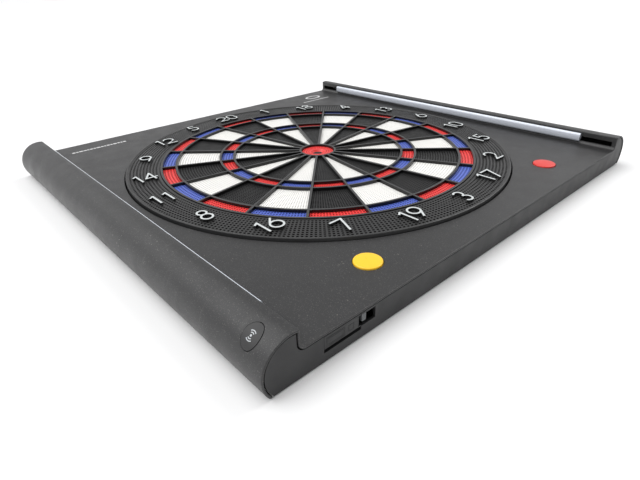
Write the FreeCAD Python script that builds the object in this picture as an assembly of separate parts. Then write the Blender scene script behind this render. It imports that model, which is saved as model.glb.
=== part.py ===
"""Electronic dartboard, lying on its back.

+Z comes out of the face, +Y points to the 20 and +X to the right of the hung board.
The origin is the middle of the rectangle that the board stands on. Millimetres.
"""
import FreeCAD
import Part
import math
import os

V = FreeCAD.Vector

# ---- overall size ----
width = 582.0
height = 543.0
depth = 42.0

# ---- casing ----
back_z = 1.0              # back face above the rubber pads' soles
floor_wall = 2.4
end_wall = 2.4
skin = 2.0                # wall of the front cover
seam = 0.8                # shadow gap between cover and housing
wall_setback = 0.8        # end wall behind the cover's edge
skirt_gap = 0.6           # cover's lower edge above the back face
panel_z = 25.5            # flat panel of the front cover
roll_radius = 25.5        # outer skin of the two side rolls
roll_reach = 31.7         # from the side to the roll's inner face
panel_fillet = 4.5
lip_round = 1.2
side_rib = 2.0
side_rib_height = 6.0

# ---- light bars in the rolls ----
bar_length = 456.0
bar_proud = 3.4
bar_rise = 2.6            # above the panel
bar_top_drop = 3.4        # below the crest
bar_round = 2.6
slot_rise = 3.7
slot_height = 6.0
slot_end = 5.0            # roll left solid at each end of the slot
tongue_depth = 3.2
tongue_clear = 0.3
light_board_width = 12.0
light_board_setback = 7.2  # from the roll's inner face
pcb = 1.6
led_size = 5.0
led_height = 1.6
led_count = 16
light_post_count = 5
light_post_width = 8.0
light_post_depth = 2.4
light_post_end = 30.0     # first post from the bar's end
light_board_end = 2.0

# ---- target ----
numbers = [20, 1, 18, 4, 13, 6, 10, 15, 2, 17, 3, 19, 7, 16, 8, 11, 14, 9, 12, 5]
spider_z = 28.4           # top of the ridges
ridge = 2.9               # width of a ridge
rib_depth = 10.9
hub_radius = 22.7         # middle of the ridge round the bull
triple_inner = 108.9
triple_outer = 126.2
double_inner = 180.4
double_outer = 198.3
segment_clear = 0.35
face_drop = 3.4           # segment faces below the ridges
face_plate = 2.0
segment_wall = 1.6
flange_reach = 0.8
flange_thick = 1.5
flange_gap = 0.4
press_travel = 1.0
press_gap = 0.15
bull_drop = 2.8           # outer bull below the ridges
bull_hole = 6.3
bull_mouth = 9.0
bull_taper = 3.4          # depth of the tapered mouth
bull_lip = 0.9
bull_round = 0.8
inner_bull_radius = 6.0
inner_bull_drop = 5.0
inner_flange = 7.4
counterbore = 8.2
mat_thick = 1.6
film_thick = 0.4
plate_thick = 6.0
skirt_step = 1.0          # spider's skirt set back from the flanges
skirt_clear = 0.5

# ---- number ring ----
ring_inner = 200.0
ring_outer = 239.5
ring_z = 27.6             # perforated surface
ring_plate = 2.2
ring_rim = 3.0            # width of the raised rim
rim_rise = 1.0
rim_round = 0.8
ring_wall = 2.2
ring_gap = 1.4            # dark gap to the front cover
ring_boss_radius = 4.0
ring_boss_count = 10
digit_height = 23.0
digit_width = 15.4
digit_stroke = 2.2
digit_rise = 2.6
pair_with_one = 14.0
pair_wide = 18.0
numeral_offset = 0.8      # numerals stand this much outside the surface's middle

# ---- buttons ----
button_radius = 12.5
button_x = 154.0          # from the middle
button_y = 40.5           # from the bottom edge
button_rise = 1.5
button_round = 0.9
button_crown = 0.2
button_clear = 0.4
button_flange = 1.2
button_flange_thick = 1.6
button_stem = 3.0
oval_long = 9.7           # half size round the roll
oval_short = 7.7          # half size along the roll
oval_tilt = 38.0          # degrees from +Z
oval_y = 21.3             # from the bottom edge
oval_rise = 0.25
switch_size = 6.0
switch_height = 3.4
plunger_radius = 1.7
plunger_height = 0.75
stem_length = 4.1
switch_board_width = 12.0
switch_board_margin = 1.5
post_radius = 2.4
post_spread = 17.0
oval_post_spread = 12.0

# ---- sockets and power switch in the bottom wall, places from the left edge ----
door_left = 51.8
door_width = 35.1
door_thick = 2.0
door_bottom = 11.5
door_clear = 0.3
finger_slot = 3.0
hook_inset = 12.0         # grip on the port cover's inside, from its ends
hook_thick = 1.2
hook_height = 1.5
notch_depth = 2.2
hinge_pin_radius = 0.5
hinge_fit = 0.05
hinge_pin_hold = 3.0
window_width = 14.8
window_bottom = 11.3
window_top = 21.0
knob_width = 4.5
knob_height = 6.6
knob_inset = 1.2
knob_travel = 6.0
knob_centre_z = 17.3
knob_stem_width = 2.3
knob_stem_height = 2.2
knob_setback = 0.6        # knob behind the wall's outer face
knob_round = 0.8
knob_stem_reach = 4.0     # into the switch body
slide_clear = 0.3
switch_gap = 2.5          # between the end wall and the switch body
switch_overhang = 4.5     # of the switch body beyond the knob
switch_body_width = 21.0
switch_body_depth = 7.0
switch_body_height = 5.6
socket_width = 8.94
socket_height = 3.2
socket_depth = 7.5
socket_wall = 0.3
socket_setback = 8.0      # socket mouth behind the wall's outer face
socket_back = 1.2
socket_offset = 1.0       # left of the port cover's middle
tongue_width = 6.7
tongue_thick = 0.7
tongue_setback = 0.8

# ---- main board ----
board_left = 39.0         # from the left edge
board_bottom = 8.5        # from the bottom edge
board_width = 80.0
board_height = 50.0
board_z = 13.7
standoff_radius = 3.0
standoff_inset = 5.0
corner_notch = 11.0       # the lower screws stand this much further in
radio_left = 34.0         # from the board's own corner
radio_bottom = 22.0
radio_width = 18.0
radio_height = 13.0
radio_thick = 2.4
plug_width = 8.0
plug_depth = 5.0
plug_height = 5.0
plug_count = 5
plug_left = 16.0          # first plug, from the board's own corner
plug_gap = 3.0
plug_inset = 0.5
side_plug_bottom = 28.0
tail_plug_front = 2.0
tail_plug_back = 2.4

# ---- fasteners and fixings ----
screw_radius = 1.45
screw_head = 3.0
screw_head_height = 1.8
screw_hole = 1.7
screw_sink = 0.4
housing_screw_length = 16.0
housing_screw_side = 12.5  # from the roll's inner face
housing_screw_end = 14.5   # from the top and bottom edges
housing_screw_corner = 90.0
housing_screw_spread = 110.0
ring_screw_length = 14.0
ring_screw_sink = 0.2
board_screw_length = 8.0
head_clear = 0.4
boss_radius = 4.0
floor_boss_radius = 6.0
floor_boss_height = 4.3
boss_gap = 0.3
plate_post_radius = 5.0
plate_post_circle = 150.0
plate_post_count = 6
plate_screw_bite = 1.5    # left of the plate above the screw's tip
centre_post_circle = 60.0
centre_post_count = 3
keyhole_across = 406.4
keyhole_down = 300.0
keyhole_radius = 5.0
keyhole_slot = 2.6
keyhole_run = 9.0
pad_radius = 8.0
pad_inset_x = 60.0
pad_inset_y = 30.0

# ---- film tail and leads ----
tail_angle = 226.0
tail_width = 24.0
tail_thick = 0.4
tail_slot_radius = 186.0
tail_end_radius = 312.0
tail_plug_height = 3.0
lead_radius = 1.2

# ---- places worked out from the sizes ----
half_w = width / 2
half_h = height / 2
roll_x = half_w - roll_radius
roll_z = depth - roll_radius
inner_face = half_w - roll_reach
floor_top = back_z + floor_wall
wall_y = half_h - wall_setback
wall_top = panel_z - skin - seam
panel_under = panel_z - skin
face_z = spider_z - face_drop
rib_z = spider_z - rib_depth
flange_top = rib_z - flange_gap
foot_z = flange_top - flange_thick
mat_top = foot_z - press_travel - press_gap
film_top = mat_top - mat_thick
plate_top = film_top - film_thick
plate_under = plate_top - plate_thick
sheet_radius = double_outer - ridge / 2 - skirt_clear
board_top = board_z + pcb
sector_step = 360.0 / len(numbers)


# ---------------------------------------------------------------- helpers
def box(x0, x1, y0, y1, z0, z1):
    return Part.makeBox(x1 - x0, y1 - y0, z1 - z0, V(x0, y0, z0))


def cyl(radius, z0, z1, x=0.0, y=0.0):
    return Part.makeCylinder(radius, z1 - z0, V(x, y, z0))


def tube(outer, inner, z0, z1, x=0.0, y=0.0):
    return cyl(outer, z0, z1, x, y).cut(cyl(inner, z0, z1, x, y))


def fuse(shapes):
    if len(shapes) == 1:
        return shapes[0]
    return shapes[0].multiFuse(shapes[1:]).removeSplitter()


def mirror_x(shape):
    return shape.mirror(V(0, 0, 0), V(1, 0, 0))


def both_sides(shape):
    return [shape, mirror_x(shape)]


def revolve(points):
    """Turn a closed outline of (radius, z) points round the Z axis."""
    wire = Part.makePolygon([V(r, 0, z) for r, z in points + points[:1]])
    return Part.Face(wire).revolve(V(0, 0, 0), V(0, 0, 1), 360)


def ring_points(count, radius, start=0.0):
    step = 2 * math.pi / count
    turn = math.radians(start)
    return [(radius * math.cos(turn + i * step), radius * math.sin(turn + i * step)) for i in range(count)]


def save(name, shape):
    shape.exportStep("parts/" + name + ".step")


# ---------------------------------------------------------------- casing outline
def half_outline(inset, bottom):
    """Edges of the right half of the casing's section, moved inwards by inset."""
    radius = roll_radius - inset
    face_x = inner_face + inset
    top_z = panel_z - inset
    fillet = panel_fillet + inset
    fillet_x = inner_face - panel_fillet
    fillet_z = panel_z + panel_fillet
    diagonal = math.sqrt(0.5) * fillet
    lip = max(lip_round - inset, 0.2)
    lip_x = face_x + lip
    lip_z = roll_z + math.sqrt((radius - lip) ** 2 - (roll_x - lip_x) ** 2)
    out = V(lip_x - roll_x, 0, lip_z - roll_z).normalize()
    lip_mid = (out + V(-1, 0, 0)).normalize()
    centre = V(roll_x, 0, roll_z)
    foot = V(roll_x + math.sqrt(radius ** 2 - (roll_z - bottom) ** 2), 0, bottom)
    crest = centre + out * radius
    edges = [
        Part.LineSegment(V(0, 0, top_z), V(fillet_x, 0, top_z)).toShape(),
        Part.Arc(
            V(fillet_x, 0, top_z),
            V(fillet_x + diagonal, 0, fillet_z - diagonal),
            V(face_x, 0, fillet_z),
        ).toShape(),
        Part.LineSegment(V(face_x, 0, fillet_z), V(face_x, 0, lip_z)).toShape(),
        Part.Arc(V(face_x, 0, lip_z), V(lip_x, 0, lip_z) + lip_mid * lip, crest).toShape(),
        Part.Arc(crest, centre + V(radius, 0, 0), foot).toShape(),
        Part.LineSegment(foot, V(0, 0, bottom)).toShape(),
    ]
    return edges


def casing_block(inset, bottom, y0, y1):
    """The casing's section as a solid between two heights of the board."""
    right = half_outline(inset, bottom)
    left = [mirror_x(edge) for edge in right]
    wire = Part.Wire(Part.__sortEdges__(right + left))
    face = Part.Face(wire)
    face.translate(V(0, y0, 0))
    return face.extrude(V(0, y1 - y0, 0))


def roll_inside_x(z):
    """Inner side of the cover's roll at a height."""
    return roll_x + math.sqrt((roll_radius - skin) ** 2 - (roll_z - z) ** 2)


# ---------------------------------------------------------------- shared places
def housing_screw_places():
    side = inner_face - housing_screw_side
    end = half_h - housing_screw_end
    corner = half_h - housing_screw_corner
    places = [(sx * side, sy * corner) for sx in (-1, 1) for sy in (-1, 1)]
    places += [(sx * side, 0.0) for sx in (-1, 1)]
    places += [(sx * housing_screw_spread, sy * end) for sx in (-1, 1) for sy in (-1, 1)]
    return places


def board_corner_places():
    x0 = -half_w + board_left + standoff_inset
    x1 = -half_w + board_left + board_width - standoff_inset
    y1 = -half_h + board_bottom + board_height - standoff_inset
    y0 = -half_h + board_bottom + standoff_inset + corner_notch
    return [(x0, y0), (x1, y0), (x0, y1), (x1, y1)]


def button_places():
    y = -half_h + button_y
    return {"yellow_button": (-button_x, y), "red_button": (button_x, y)}


def roll_frame(shape):
    """Move a shape built at the origin, pointing up, to the oval button's place."""
    shape.rotate(V(0, 0, 0), V(0, 1, 0), -oval_tilt)
    shape.translate(V(-roll_x, -half_h + oval_y, roll_z))
    return shape


def oval(grow, z0, z1):
    """Upright oval prism, its long side along X."""
    long_side = oval_long + grow
    short_side = oval_short + grow
    edge = Part.Ellipse(V(0, 0, z0), long_side, short_side).toShape()
    return Part.Face(Part.Wire(edge)).extrude(V(0, 0, z1 - z0))


# ---------------------------------------------------------------- front cover
def oval_levels():
    """Heights over the roll's axis: flange top, flange foot, stem foot, board top."""
    inside = roll_radius - skin
    reach = oval_long + button_flange
    top = math.sqrt(inside ** 2 - reach ** 2) - press_gap * 2
    foot = top - button_flange_thick
    stem = foot - stem_length
    board = stem - press_travel - press_gap - plunger_height - switch_height
    return top, foot, stem, board


def button_levels():
    top = panel_under - press_gap * 2
    foot = top - button_flange_thick
    stem = foot - stem_length
    board = stem - press_travel - press_gap - plunger_height - switch_height
    return top, foot, stem, board


def make_front_cover():
    shell = casing_block(0.0, back_z + skirt_gap, -half_h, half_h)
    shell = shell.cut(casing_block(skin, back_z - 5.0, -half_h - 1, half_h + 1))
    solids = [shell]
    for x, y in housing_screw_places():
        solids.append(cyl(boss_radius, back_z + floor_boss_height + boss_gap, panel_under + 0.5, x, y))
    board = button_levels()[3]
    for x, y in button_places().values():
        for side in (-1, 1):
            solids.append(cyl(post_radius, board, panel_under + 0.5, x, y + side * post_spread))
    oval_board = oval_levels()[3]
    for side in (-1, 1):
        post = cyl(post_radius, oval_board, roll_radius - skin / 2, 0, side * oval_post_spread)
        solids.append(roll_frame(post))
    cover = fuse(solids)
    slot_z = panel_z + slot_rise
    reach_y = half_h - slot_end
    slot = box(inner_face - 2, inner_face + skin + 1, -reach_y, reach_y, slot_z, slot_z + slot_height)
    cuts = both_sides(slot)
    cuts.append(cyl(ring_outer + ring_gap, panel_under - 5, panel_z + 5))
    for x, y in button_places().values():
        cuts.append(cyl(button_radius + button_clear, panel_under - 0.1, panel_z + 5, x, y))
    cuts.append(roll_frame(oval(button_clear, roll_radius - 6, roll_radius + 3)))
    for x, y in housing_screw_places():
        cuts.append(cyl(screw_radius, back_z, panel_under - 3, x, y))
    for cut in cuts:
        cover = cover.cut(cut)
    return cover


# ---------------------------------------------------------------- rear housing
def door_x():
    left = -half_w + door_left
    return left, left + door_width


def keyhole_places():
    return [(sx * keyhole_across / 2, sy * keyhole_down / 2) for sx in (-1, 1) for sy in (-1, 1)]


def plate_post_places():
    return ring_points(plate_post_count, plate_post_circle, 30.0)


def light_post_places():
    run = bar_length - 2 * light_post_end
    step = run / (light_post_count - 1)
    return [-run / 2 + i * step for i in range(light_post_count)]


def make_rear_housing():
    foot_x = roll_inside_x(back_z) - seam
    solids = [box(-foot_x, foot_x, -wall_y, wall_y, back_z, floor_top)]
    for side in (-1, 1):
        y0 = min(side * wall_y, side * (wall_y - end_wall))
        solids.append(casing_block(skin + seam, back_z, y0, y0 + end_wall))
    rib = box(foot_x - side_rib, foot_x, -wall_y, wall_y, back_z, floor_top + side_rib_height)
    solids += both_sides(rib)
    for x, y in housing_screw_places():
        solids.append(cyl(floor_boss_radius, back_z, back_z + floor_boss_height, x, y))
    for x, y in plate_post_places():
        solids.append(cyl(plate_post_radius, back_z, plate_under, x, y))
    for x, y in ring_points(centre_post_count, centre_post_circle, 90.0):
        solids.append(cyl(plate_post_radius, back_z, plate_under, x, y))
    for x, y in board_corner_places():
        solids.append(cyl(standoff_radius, back_z, board_z, x, y))
    post_x = inner_face + light_board_setback + pcb
    light_z = light_board_levels()
    for y in light_post_places():
        half = light_post_width / 2
        post = box(post_x, post_x + light_post_depth, y - half, y + half, back_z, light_z[1])
        foot = box(post_x - pcb - led_height, post_x, y - half, y + half, back_z, light_z[0])
        solids += both_sides(post) + both_sides(foot)
    housing = fuse(solids)
    left, right = door_x()
    outside = -wall_y - 1
    inside = -wall_y + end_wall + 0.1
    cuts = [
        box(left - door_clear, right + door_clear, outside, inside, door_bottom - finger_slot, wall_top + 1),
        box(right, right + door_clear + window_width, outside, inside, window_bottom, window_top),
        hinge_pin_shape(hinge_pin_radius),
    ]
    for x, y in housing_screw_places():
        cuts.append(cyl(screw_hole, 0, floor_top + 5, x, y))
        cuts.append(cyl(screw_head + head_clear, 0, back_z + screw_sink + screw_head_height, x, y))
    for x, y in plate_post_places():
        cuts.append(cyl(screw_hole, 0, plate_under, x, y))
        cuts.append(cyl(screw_head + head_clear, 0, back_z + screw_sink + screw_head_height, x, y))
    for x, y in board_corner_places():
        cuts.append(cyl(screw_radius, board_z - 8, board_z, x, y))
    for x, y in keyhole_places():
        cuts.append(cyl(keyhole_radius, 0, floor_top, x, y))
        cuts.append(box(x - keyhole_slot, x + keyhole_slot, y, y + keyhole_run, 0, floor_top))
        cuts.append(cyl(keyhole_slot, 0, floor_top, x, y + keyhole_run))
    for cut in cuts:
        housing = housing.cut(cut)
    return housing


def make_back_pads():
    x = half_w - pad_inset_x
    y = half_h - pad_inset_y
    places = [(sx * x, sy * y) for sx in (-1, 1) for sy in (-1, 1)]
    places += [(0, y), (0, -y)]
    return Part.makeCompound([cyl(pad_radius, 0, back_z, px, py) for px, py in places])


# ---------------------------------------------------------------- port cover
def hinge_line():
    """Y and Z of the port cover's hinge."""
    return -wall_y + door_thick / 2, wall_top - door_thick / 2


def hinge_pin_shape(radius):
    left, right = door_x()
    y, z = hinge_line()
    start = left - door_clear - hinge_pin_hold
    length = right - left + 2 * (door_clear + hinge_pin_hold)
    return Part.makeCylinder(radius, length, V(start, y, z), V(1, 0, 0))


def make_port_cover():
    left, right = door_x()
    y, z = hinge_line()
    plate = box(left, right, -wall_y, -wall_y + door_thick, door_bottom, z)
    barrel = Part.makeCylinder(door_thick / 2, right - left, V(left, y, z), V(1, 0, 0))
    inside = -wall_y + door_thick
    hook = box(
        left + hook_inset, right - hook_inset, inside, inside + hook_thick,
        door_bottom, door_bottom + hook_height,
    )
    cover = fuse([plate, barrel, hook])
    notch = box(right - notch_depth, right + 1, -wall_y - 1, inside + 1, window_bottom + 1, window_top)
    return cover.cut(notch).cut(hinge_pin_shape(hinge_pin_radius + hinge_fit))


# ---------------------------------------------------------------- target
def cell_wire(r_in, r_out, side, middle, z):
    """Outline of one cell between two straight ridges: side is half a ridge plus clearance."""
    half = math.radians(sector_step / 2)
    mid = math.radians(middle)

    def point(radius, sign):
        turn = mid + sign * (half - math.asin(side / radius))
        return V(radius * math.cos(turn), radius * math.sin(turn), z)

    def middle_point(radius):
        return V(radius * math.cos(mid), radius * math.sin(mid), z)

    return Part.Wire([
        Part.Arc(point(r_out, -1), middle_point(r_out), point(r_out, 1)).toShape(),
        Part.LineSegment(point(r_out, 1), point(r_in, 1)).toShape(),
        Part.Arc(point(r_in, 1), middle_point(r_in), point(r_in, -1)).toShape(),
        Part.LineSegment(point(r_in, -1), point(r_out, -1)).toShape(),
    ])


def cell(r_in, r_out, side, middle, z0, z1):
    return Part.Face(cell_wire(r_in, r_out, side, middle, z0)).extrude(V(0, 0, z1 - z0))


def band_radii():
    """Inner and outer ridge of each of a sector's four segments."""
    ridges = [hub_radius, triple_inner, triple_outer, double_inner, double_outer]
    return list(zip(ridges[:-1], ridges[1:]))


def sector_angle(index):
    return 90.0 - sector_step * index


def make_segment(r_low, r_high, middle):
    side = ridge / 2 + segment_clear
    r_in = r_low + side
    r_out = r_high - side
    body = cell(r_in, r_out, side, middle, foot_z, face_z)
    wide = flange_reach
    flange = cell(r_in - wide, r_out + wide, side - wide, middle, foot_z, flange_top)
    wall = segment_wall
    pocket = cell(r_in + 2 * wall, r_out - wall, side + wall, middle, foot_z - 1, face_z - face_plate)
    return fuse([body, flange]).cut(pocket)


def make_sector(index):
    middle = sector_angle(index)
    return Part.makeCompound([make_segment(low, high, middle) for low, high in band_radii()])


def make_spider():
    outer = Part.Wire(Part.makeCircle(double_outer + ridge / 2, V(0, 0, rib_z)))
    hub = Part.Wire(Part.makeCircle(hub_radius - ridge / 2, V(0, 0, rib_z)))
    holes = [hub]
    for index in range(len(numbers)):
        for low, high in band_radii():
            holes.append(cell_wire(low + ridge / 2, high - ridge / 2, ridge / 2, sector_angle(index), rib_z))
    plan = Part.makeFace([outer] + holes, "Part::FaceMakerBullseye")
    web = plan.extrude(V(0, 0, rib_depth))
    skirt = tube(double_outer + ridge / 2, double_outer - ridge / 2 + skirt_step, plate_top, rib_z)
    return fuse([web, skirt])


def make_outer_bull():
    top = spider_z - bull_drop
    radius = hub_radius - ridge / 2 - segment_clear
    outline = [
        (bull_hole, top - bull_taper),
        (bull_mouth, top - bull_lip),
        (bull_mouth + bull_lip, top),
        (radius - bull_round, top),
        (radius, top - bull_round),
        (radius, flange_top),
        (radius + flange_reach, flange_top),
        (radius + flange_reach, foot_z),
        (counterbore, foot_z),
        (counterbore, flange_top + press_travel + press_gap),
        (bull_hole, flange_top + press_travel + press_gap),
    ]
    return revolve(outline)


def make_inner_bull():
    top = spider_z - inner_bull_drop
    outline = [
        (0, foot_z),
        (inner_flange, foot_z),
        (inner_flange, flange_top),
        (inner_bull_radius, flange_top),
        (inner_bull_radius, top - bull_round),
        (inner_bull_radius - bull_round, top),
        (0, top),
    ]
    return revolve(outline)


def make_rubber_mat():
    return cyl(sheet_radius, film_top, mat_top)


def turned(shape, degrees):
    shape.rotate(V(0, 0, 0), V(0, 0, 1), degrees)
    return shape


def tail_slot():
    reach = 1.0
    slot = box(
        tail_slot_radius - reach, tail_slot_radius + tail_thick + reach,
        -tail_width / 2 - reach, tail_width / 2 + reach, plate_under - 1, plate_top + 1,
    )
    return turned(slot, tail_angle)


def make_sensor_film():
    half = tail_width / 2
    low = (floor_top + plate_under) / 2 - tail_thick / 2
    inner = tail_slot_radius
    outer = tail_end_radius
    sheet = cyl(sheet_radius, plate_top, film_top)
    drop = box(inner, inner + tail_thick, -half, half, low, film_top)
    run = box(inner, outer, -half, half, low, low + tail_thick)
    rise = box(outer, outer + tail_thick, -half, half, low, board_z - tail_plug_height)
    return fuse([sheet, turned(drop, tail_angle), turned(run, tail_angle), turned(rise, tail_angle)])


def make_backing_plate():
    plate = cyl(ring_outer, plate_under, plate_top)
    plate = plate.cut(tail_slot())
    for x, y in plate_post_places():
        plate = plate.cut(cyl(screw_radius, plate_under, plate_top - 1, x, y))
    for x, y in ring_boss_places():
        plate = plate.cut(cyl(screw_hole, plate_under, plate_top, x, y))
        sink = plate_under + screw_head_height + ring_screw_sink
        plate = plate.cut(cyl(screw_head + head_clear, plate_under, sink, x, y))
    return plate


# ---------------------------------------------------------------- number ring
def ring_boss_places():
    return ring_points(ring_boss_count, (ring_inner + ring_outer) / 2, 9.0)


def make_number_ring():
    under = ring_z - ring_plate
    rim_top = ring_z + rim_rise
    rim_in = ring_outer - ring_rim
    outline = [
        (ring_inner, plate_top),
        (ring_inner, ring_z),
        (rim_in, ring_z),
        (rim_in + rim_round, rim_top),
        (ring_outer - rim_round, rim_top),
        (ring_outer, rim_top - rim_round),
        (ring_outer, plate_top),
        (ring_outer - ring_wall, plate_top),
        (ring_outer - ring_wall, under),
        (ring_inner + ring_wall, under),
        (ring_inner + ring_wall, plate_top),
    ]
    solids = [revolve(outline)]
    for x, y in ring_boss_places():
        solids.append(cyl(ring_boss_radius, plate_top, under + 0.5, x, y))
    ring = fuse(solids)
    for x, y in ring_boss_places():
        ring = ring.cut(cyl(screw_radius, plate_top, under - 1, x, y))
    return ring


def bar_stroke(x0, y0, x1, y1):
    length = math.hypot(x1 - x0, y1 - y0)
    bar = Part.makeBox(length, digit_stroke, digit_rise, V(0, -digit_stroke / 2, 0))
    bar.rotate(V(0, 0, 0), V(0, 0, 1), math.degrees(math.atan2(y1 - y0, x1 - x0)))
    bar.translate(V(x0, y0, 0))
    return bar


def arc_stroke(x, y, radius, start, end):
    half = digit_stroke / 2
    up = V(0, 0, 1)
    span = end - start
    outer = Part.makeCylinder(radius + half, digit_rise, V(0, 0, 0), up, span)
    inner = Part.makeCylinder(radius - half, digit_rise, V(0, 0, 0), up)
    stroke = outer.cut(inner)
    stroke.rotate(V(0, 0, 0), up, start)
    stroke.translate(V(x, y, 0))
    return stroke


def digit_strokes(digit):
    """Strokes of one numeral, centred on the origin and upright along Y."""
    top = digit_height / 2 - digit_stroke / 2
    side = digit_width / 2 - digit_stroke / 2
    end = digit_height / 2
    if digit == "0":
        straight = top - side
        return [
            arc_stroke(0, straight, side, 0, 180),
            arc_stroke(0, -straight, side, 180, 360),
            bar_stroke(side, -straight, side, straight),
            bar_stroke(-side, -straight, -side, straight),
        ]
    if digit == "1":
        return [bar_stroke(1, -end, 1, end), bar_stroke(-3.4, top - 3.0, 1, top)]
    if digit == "2":
        bend = top - side
        turn = math.radians(-38)
        joint = (side * math.cos(turn), bend + side * math.sin(turn))
        return [
            arc_stroke(0, bend, side, -38, 168),
            bar_stroke(joint[0], joint[1], -side + 0.6, -top),
            bar_stroke(-side - digit_stroke / 2, -top, side + digit_stroke / 2, -top),
        ]
    if digit == "3":
        upper = top * 0.475
        lower = top - upper
        return [arc_stroke(0, top - upper, upper, -90, 150), arc_stroke(0, lower - top, lower, -150, 90)]
    if digit == "4":
        stem = side * 0.45
        bar = -top * 0.42
        return [
            bar_stroke(stem, -end, stem, end),
            bar_stroke(-side - digit_stroke / 2, bar, side + digit_stroke / 2, bar),
            bar_stroke(-side, bar, stem, top),
        ]
    if digit == "5":
        bowl = side * 0.97
        start = 128
        turn = math.radians(start)
        joint = (bowl * math.cos(turn), bowl - top + bowl * math.sin(turn))
        return [
            arc_stroke(0, bowl - top, bowl, -150, start),
            bar_stroke(joint[0], joint[1], joint[0] + 0.8, end),
            bar_stroke(joint[0] - 0.4, top, side, top),
        ]
    if digit in "69":
        low = side - top
        tip = (side * 0.35, top)
        reach = math.hypot(tip[0], tip[1] - low)
        touch = math.atan2(tip[1] - low, tip[0]) + math.acos(side / reach)
        strokes = [
            arc_stroke(0, low, side, 0, 360),
            bar_stroke(side * math.cos(touch), low + side * math.sin(touch), tip[0], tip[1]),
        ]
        if digit == "9":
            for stroke in strokes:
                stroke.rotate(V(0, 0, 0), V(0, 0, 1), 180)
        return strokes
    if digit == "7":
        return [
            bar_stroke(-side - digit_stroke / 2, top, side + digit_stroke / 2, top),
            bar_stroke(side, top, -side * 0.3, -end),
        ]
    upper = top * 0.455
    lower = top - upper
    return [arc_stroke(0, top - upper, upper, 0, 360), arc_stroke(0, lower - top, lower, 0, 360)]


def make_numerals():
    circle = (ring_inner + ring_outer - ring_rim) / 2 + numeral_offset
    solids = []
    for index, number in enumerate(numbers):
        text = str(number)
        turn = math.radians(sector_angle(index))
        x = circle * math.cos(turn)
        y = circle * math.sin(turn)
        advance = pair_with_one if "1" in text else pair_wide
        for place, digit in enumerate(text):
            offset = (place - (len(text) - 1) / 2) * advance
            numeral = fuse(digit_strokes(digit))
            numeral.translate(V(x + offset, y, ring_z))
            solids.append(numeral)
    return Part.makeCompound(solids)


# ---------------------------------------------------------------- light bars
def light_board_levels():
    middle = panel_z + slot_rise + slot_height / 2
    return middle - light_board_width / 2, middle + light_board_width / 2


def make_diffuser_right():
    low = panel_z + bar_rise
    high = depth - bar_top_drop
    run = bar_length / 2
    front = box(inner_face - bar_proud, inner_face, -run, run, low, high)
    long_edges = [
        edge for edge in front.Edges
        if abs(edge.BoundBox.YLength - bar_length) < 0.01 and edge.BoundBox.XMax < inner_face - 0.5
    ]
    front = front.makeFillet(min(bar_round, (high - low) / 2.2), long_edges)
    slot_z = panel_z + slot_rise
    tongue = box(
        inner_face - 0.5, inner_face + tongue_depth, -run, run,
        slot_z + tongue_clear, slot_z + slot_height - tongue_clear,
    )
    bar = fuse([front, tongue])
    return bar.cut(casing_fillet_band())


def casing_fillet_band():
    """The cover's concave fillet under the bar, so that the bar sits on it."""
    run = half_h
    block = box(
        inner_face - panel_fillet, inner_face + tongue_clear, -run, run,
        panel_z - 1, panel_z + panel_fillet,
    )
    hollow = Part.makeCylinder(
        panel_fillet, 2 * run, V(inner_face - panel_fillet, -run, panel_z + panel_fillet), V(0, 1, 0)
    )
    slot_z = panel_z + slot_rise
    keep = box(inner_face - 2, inner_face + skin, -run, run, slot_z, slot_z + slot_height)
    return block.cut(hollow).cut(keep)


def make_light_board_right():
    x = inner_face + light_board_setback
    low, high = light_board_levels()
    run = bar_length / 2 - light_board_end
    return box(x, x + pcb, -run, run, low, high)


def led_places():
    step = bar_length / led_count
    return [-bar_length / 2 + step * (i + 0.5) for i in range(led_count)]


def make_leds_right():
    x = inner_face + light_board_setback
    low, high = light_board_levels()
    middle = (low + high) / 2
    half = led_size / 2
    chips = [box(x - led_height, x, y - half, y + half, middle - half, middle + half) for y in led_places()]
    return Part.makeCompound(chips)


# ---------------------------------------------------------------- buttons
def round_button(x, y):
    top = panel_z + button_rise
    flange, foot, stem = button_levels()[:3]
    outline = [
        (0, stem),
        (button_stem, stem),
        (button_stem, foot),
        (button_radius + button_flange, foot),
        (button_radius + button_flange, flange),
        (button_radius, flange),
        (button_radius, top - button_round),
        (button_radius - button_round, top - button_crown / 2),
        (0, top + button_crown),
    ]
    button = revolve(outline)
    button.translate(V(x, y, 0))
    return button


def oval_button():
    flange, foot, stem = oval_levels()[:3]
    cap = oval(0.0, foot, roll_radius + 2)
    skin_roll = Part.makeCylinder(roll_radius + oval_rise, 60, V(0, -30, 0), V(0, 1, 0))
    cap = cap.common(skin_roll)
    plate = oval(button_flange, foot, flange)
    pin = cyl(button_stem, stem, foot)
    return roll_frame(fuse([cap, plate, pin]))


def mover_to(x, y):
    """A function that carries a shape built at the origin to (x, y)."""
    def move(shape):
        shape.translate(V(x, y, 0))
        return shape
    return move


def switch_sets():
    """Board top, spread of the posts and mover for each button's switch board."""
    sets = [(button_levels()[3], post_spread, mover_to(x, y)) for x, y in button_places().values()]
    sets.append((oval_levels()[3], oval_post_spread, roll_frame))
    return sets


def make_switch_boards():
    boards = []
    for top, spread, mover in switch_sets():
        half = switch_board_width / 2
        reach = spread + post_radius + switch_board_margin
        boards.append(mover(box(-half, half, -reach, reach, top - pcb, top)))
    return Part.makeCompound(boards)


def make_tact_switches():
    switches = []
    for top, spread, mover in switch_sets():
        half = switch_size / 2
        body = box(-half, half, -half, half, top, top + switch_height)
        plunger = cyl(plunger_radius, top + switch_height - 0.2, top + switch_height + plunger_height)
        switches.append(mover(fuse([body, plunger])))
    return Part.makeCompound(switches)


# ---------------------------------------------------------------- power switch and socket
def knob_x():
    return door_x()[1] + door_clear + knob_inset


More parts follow.
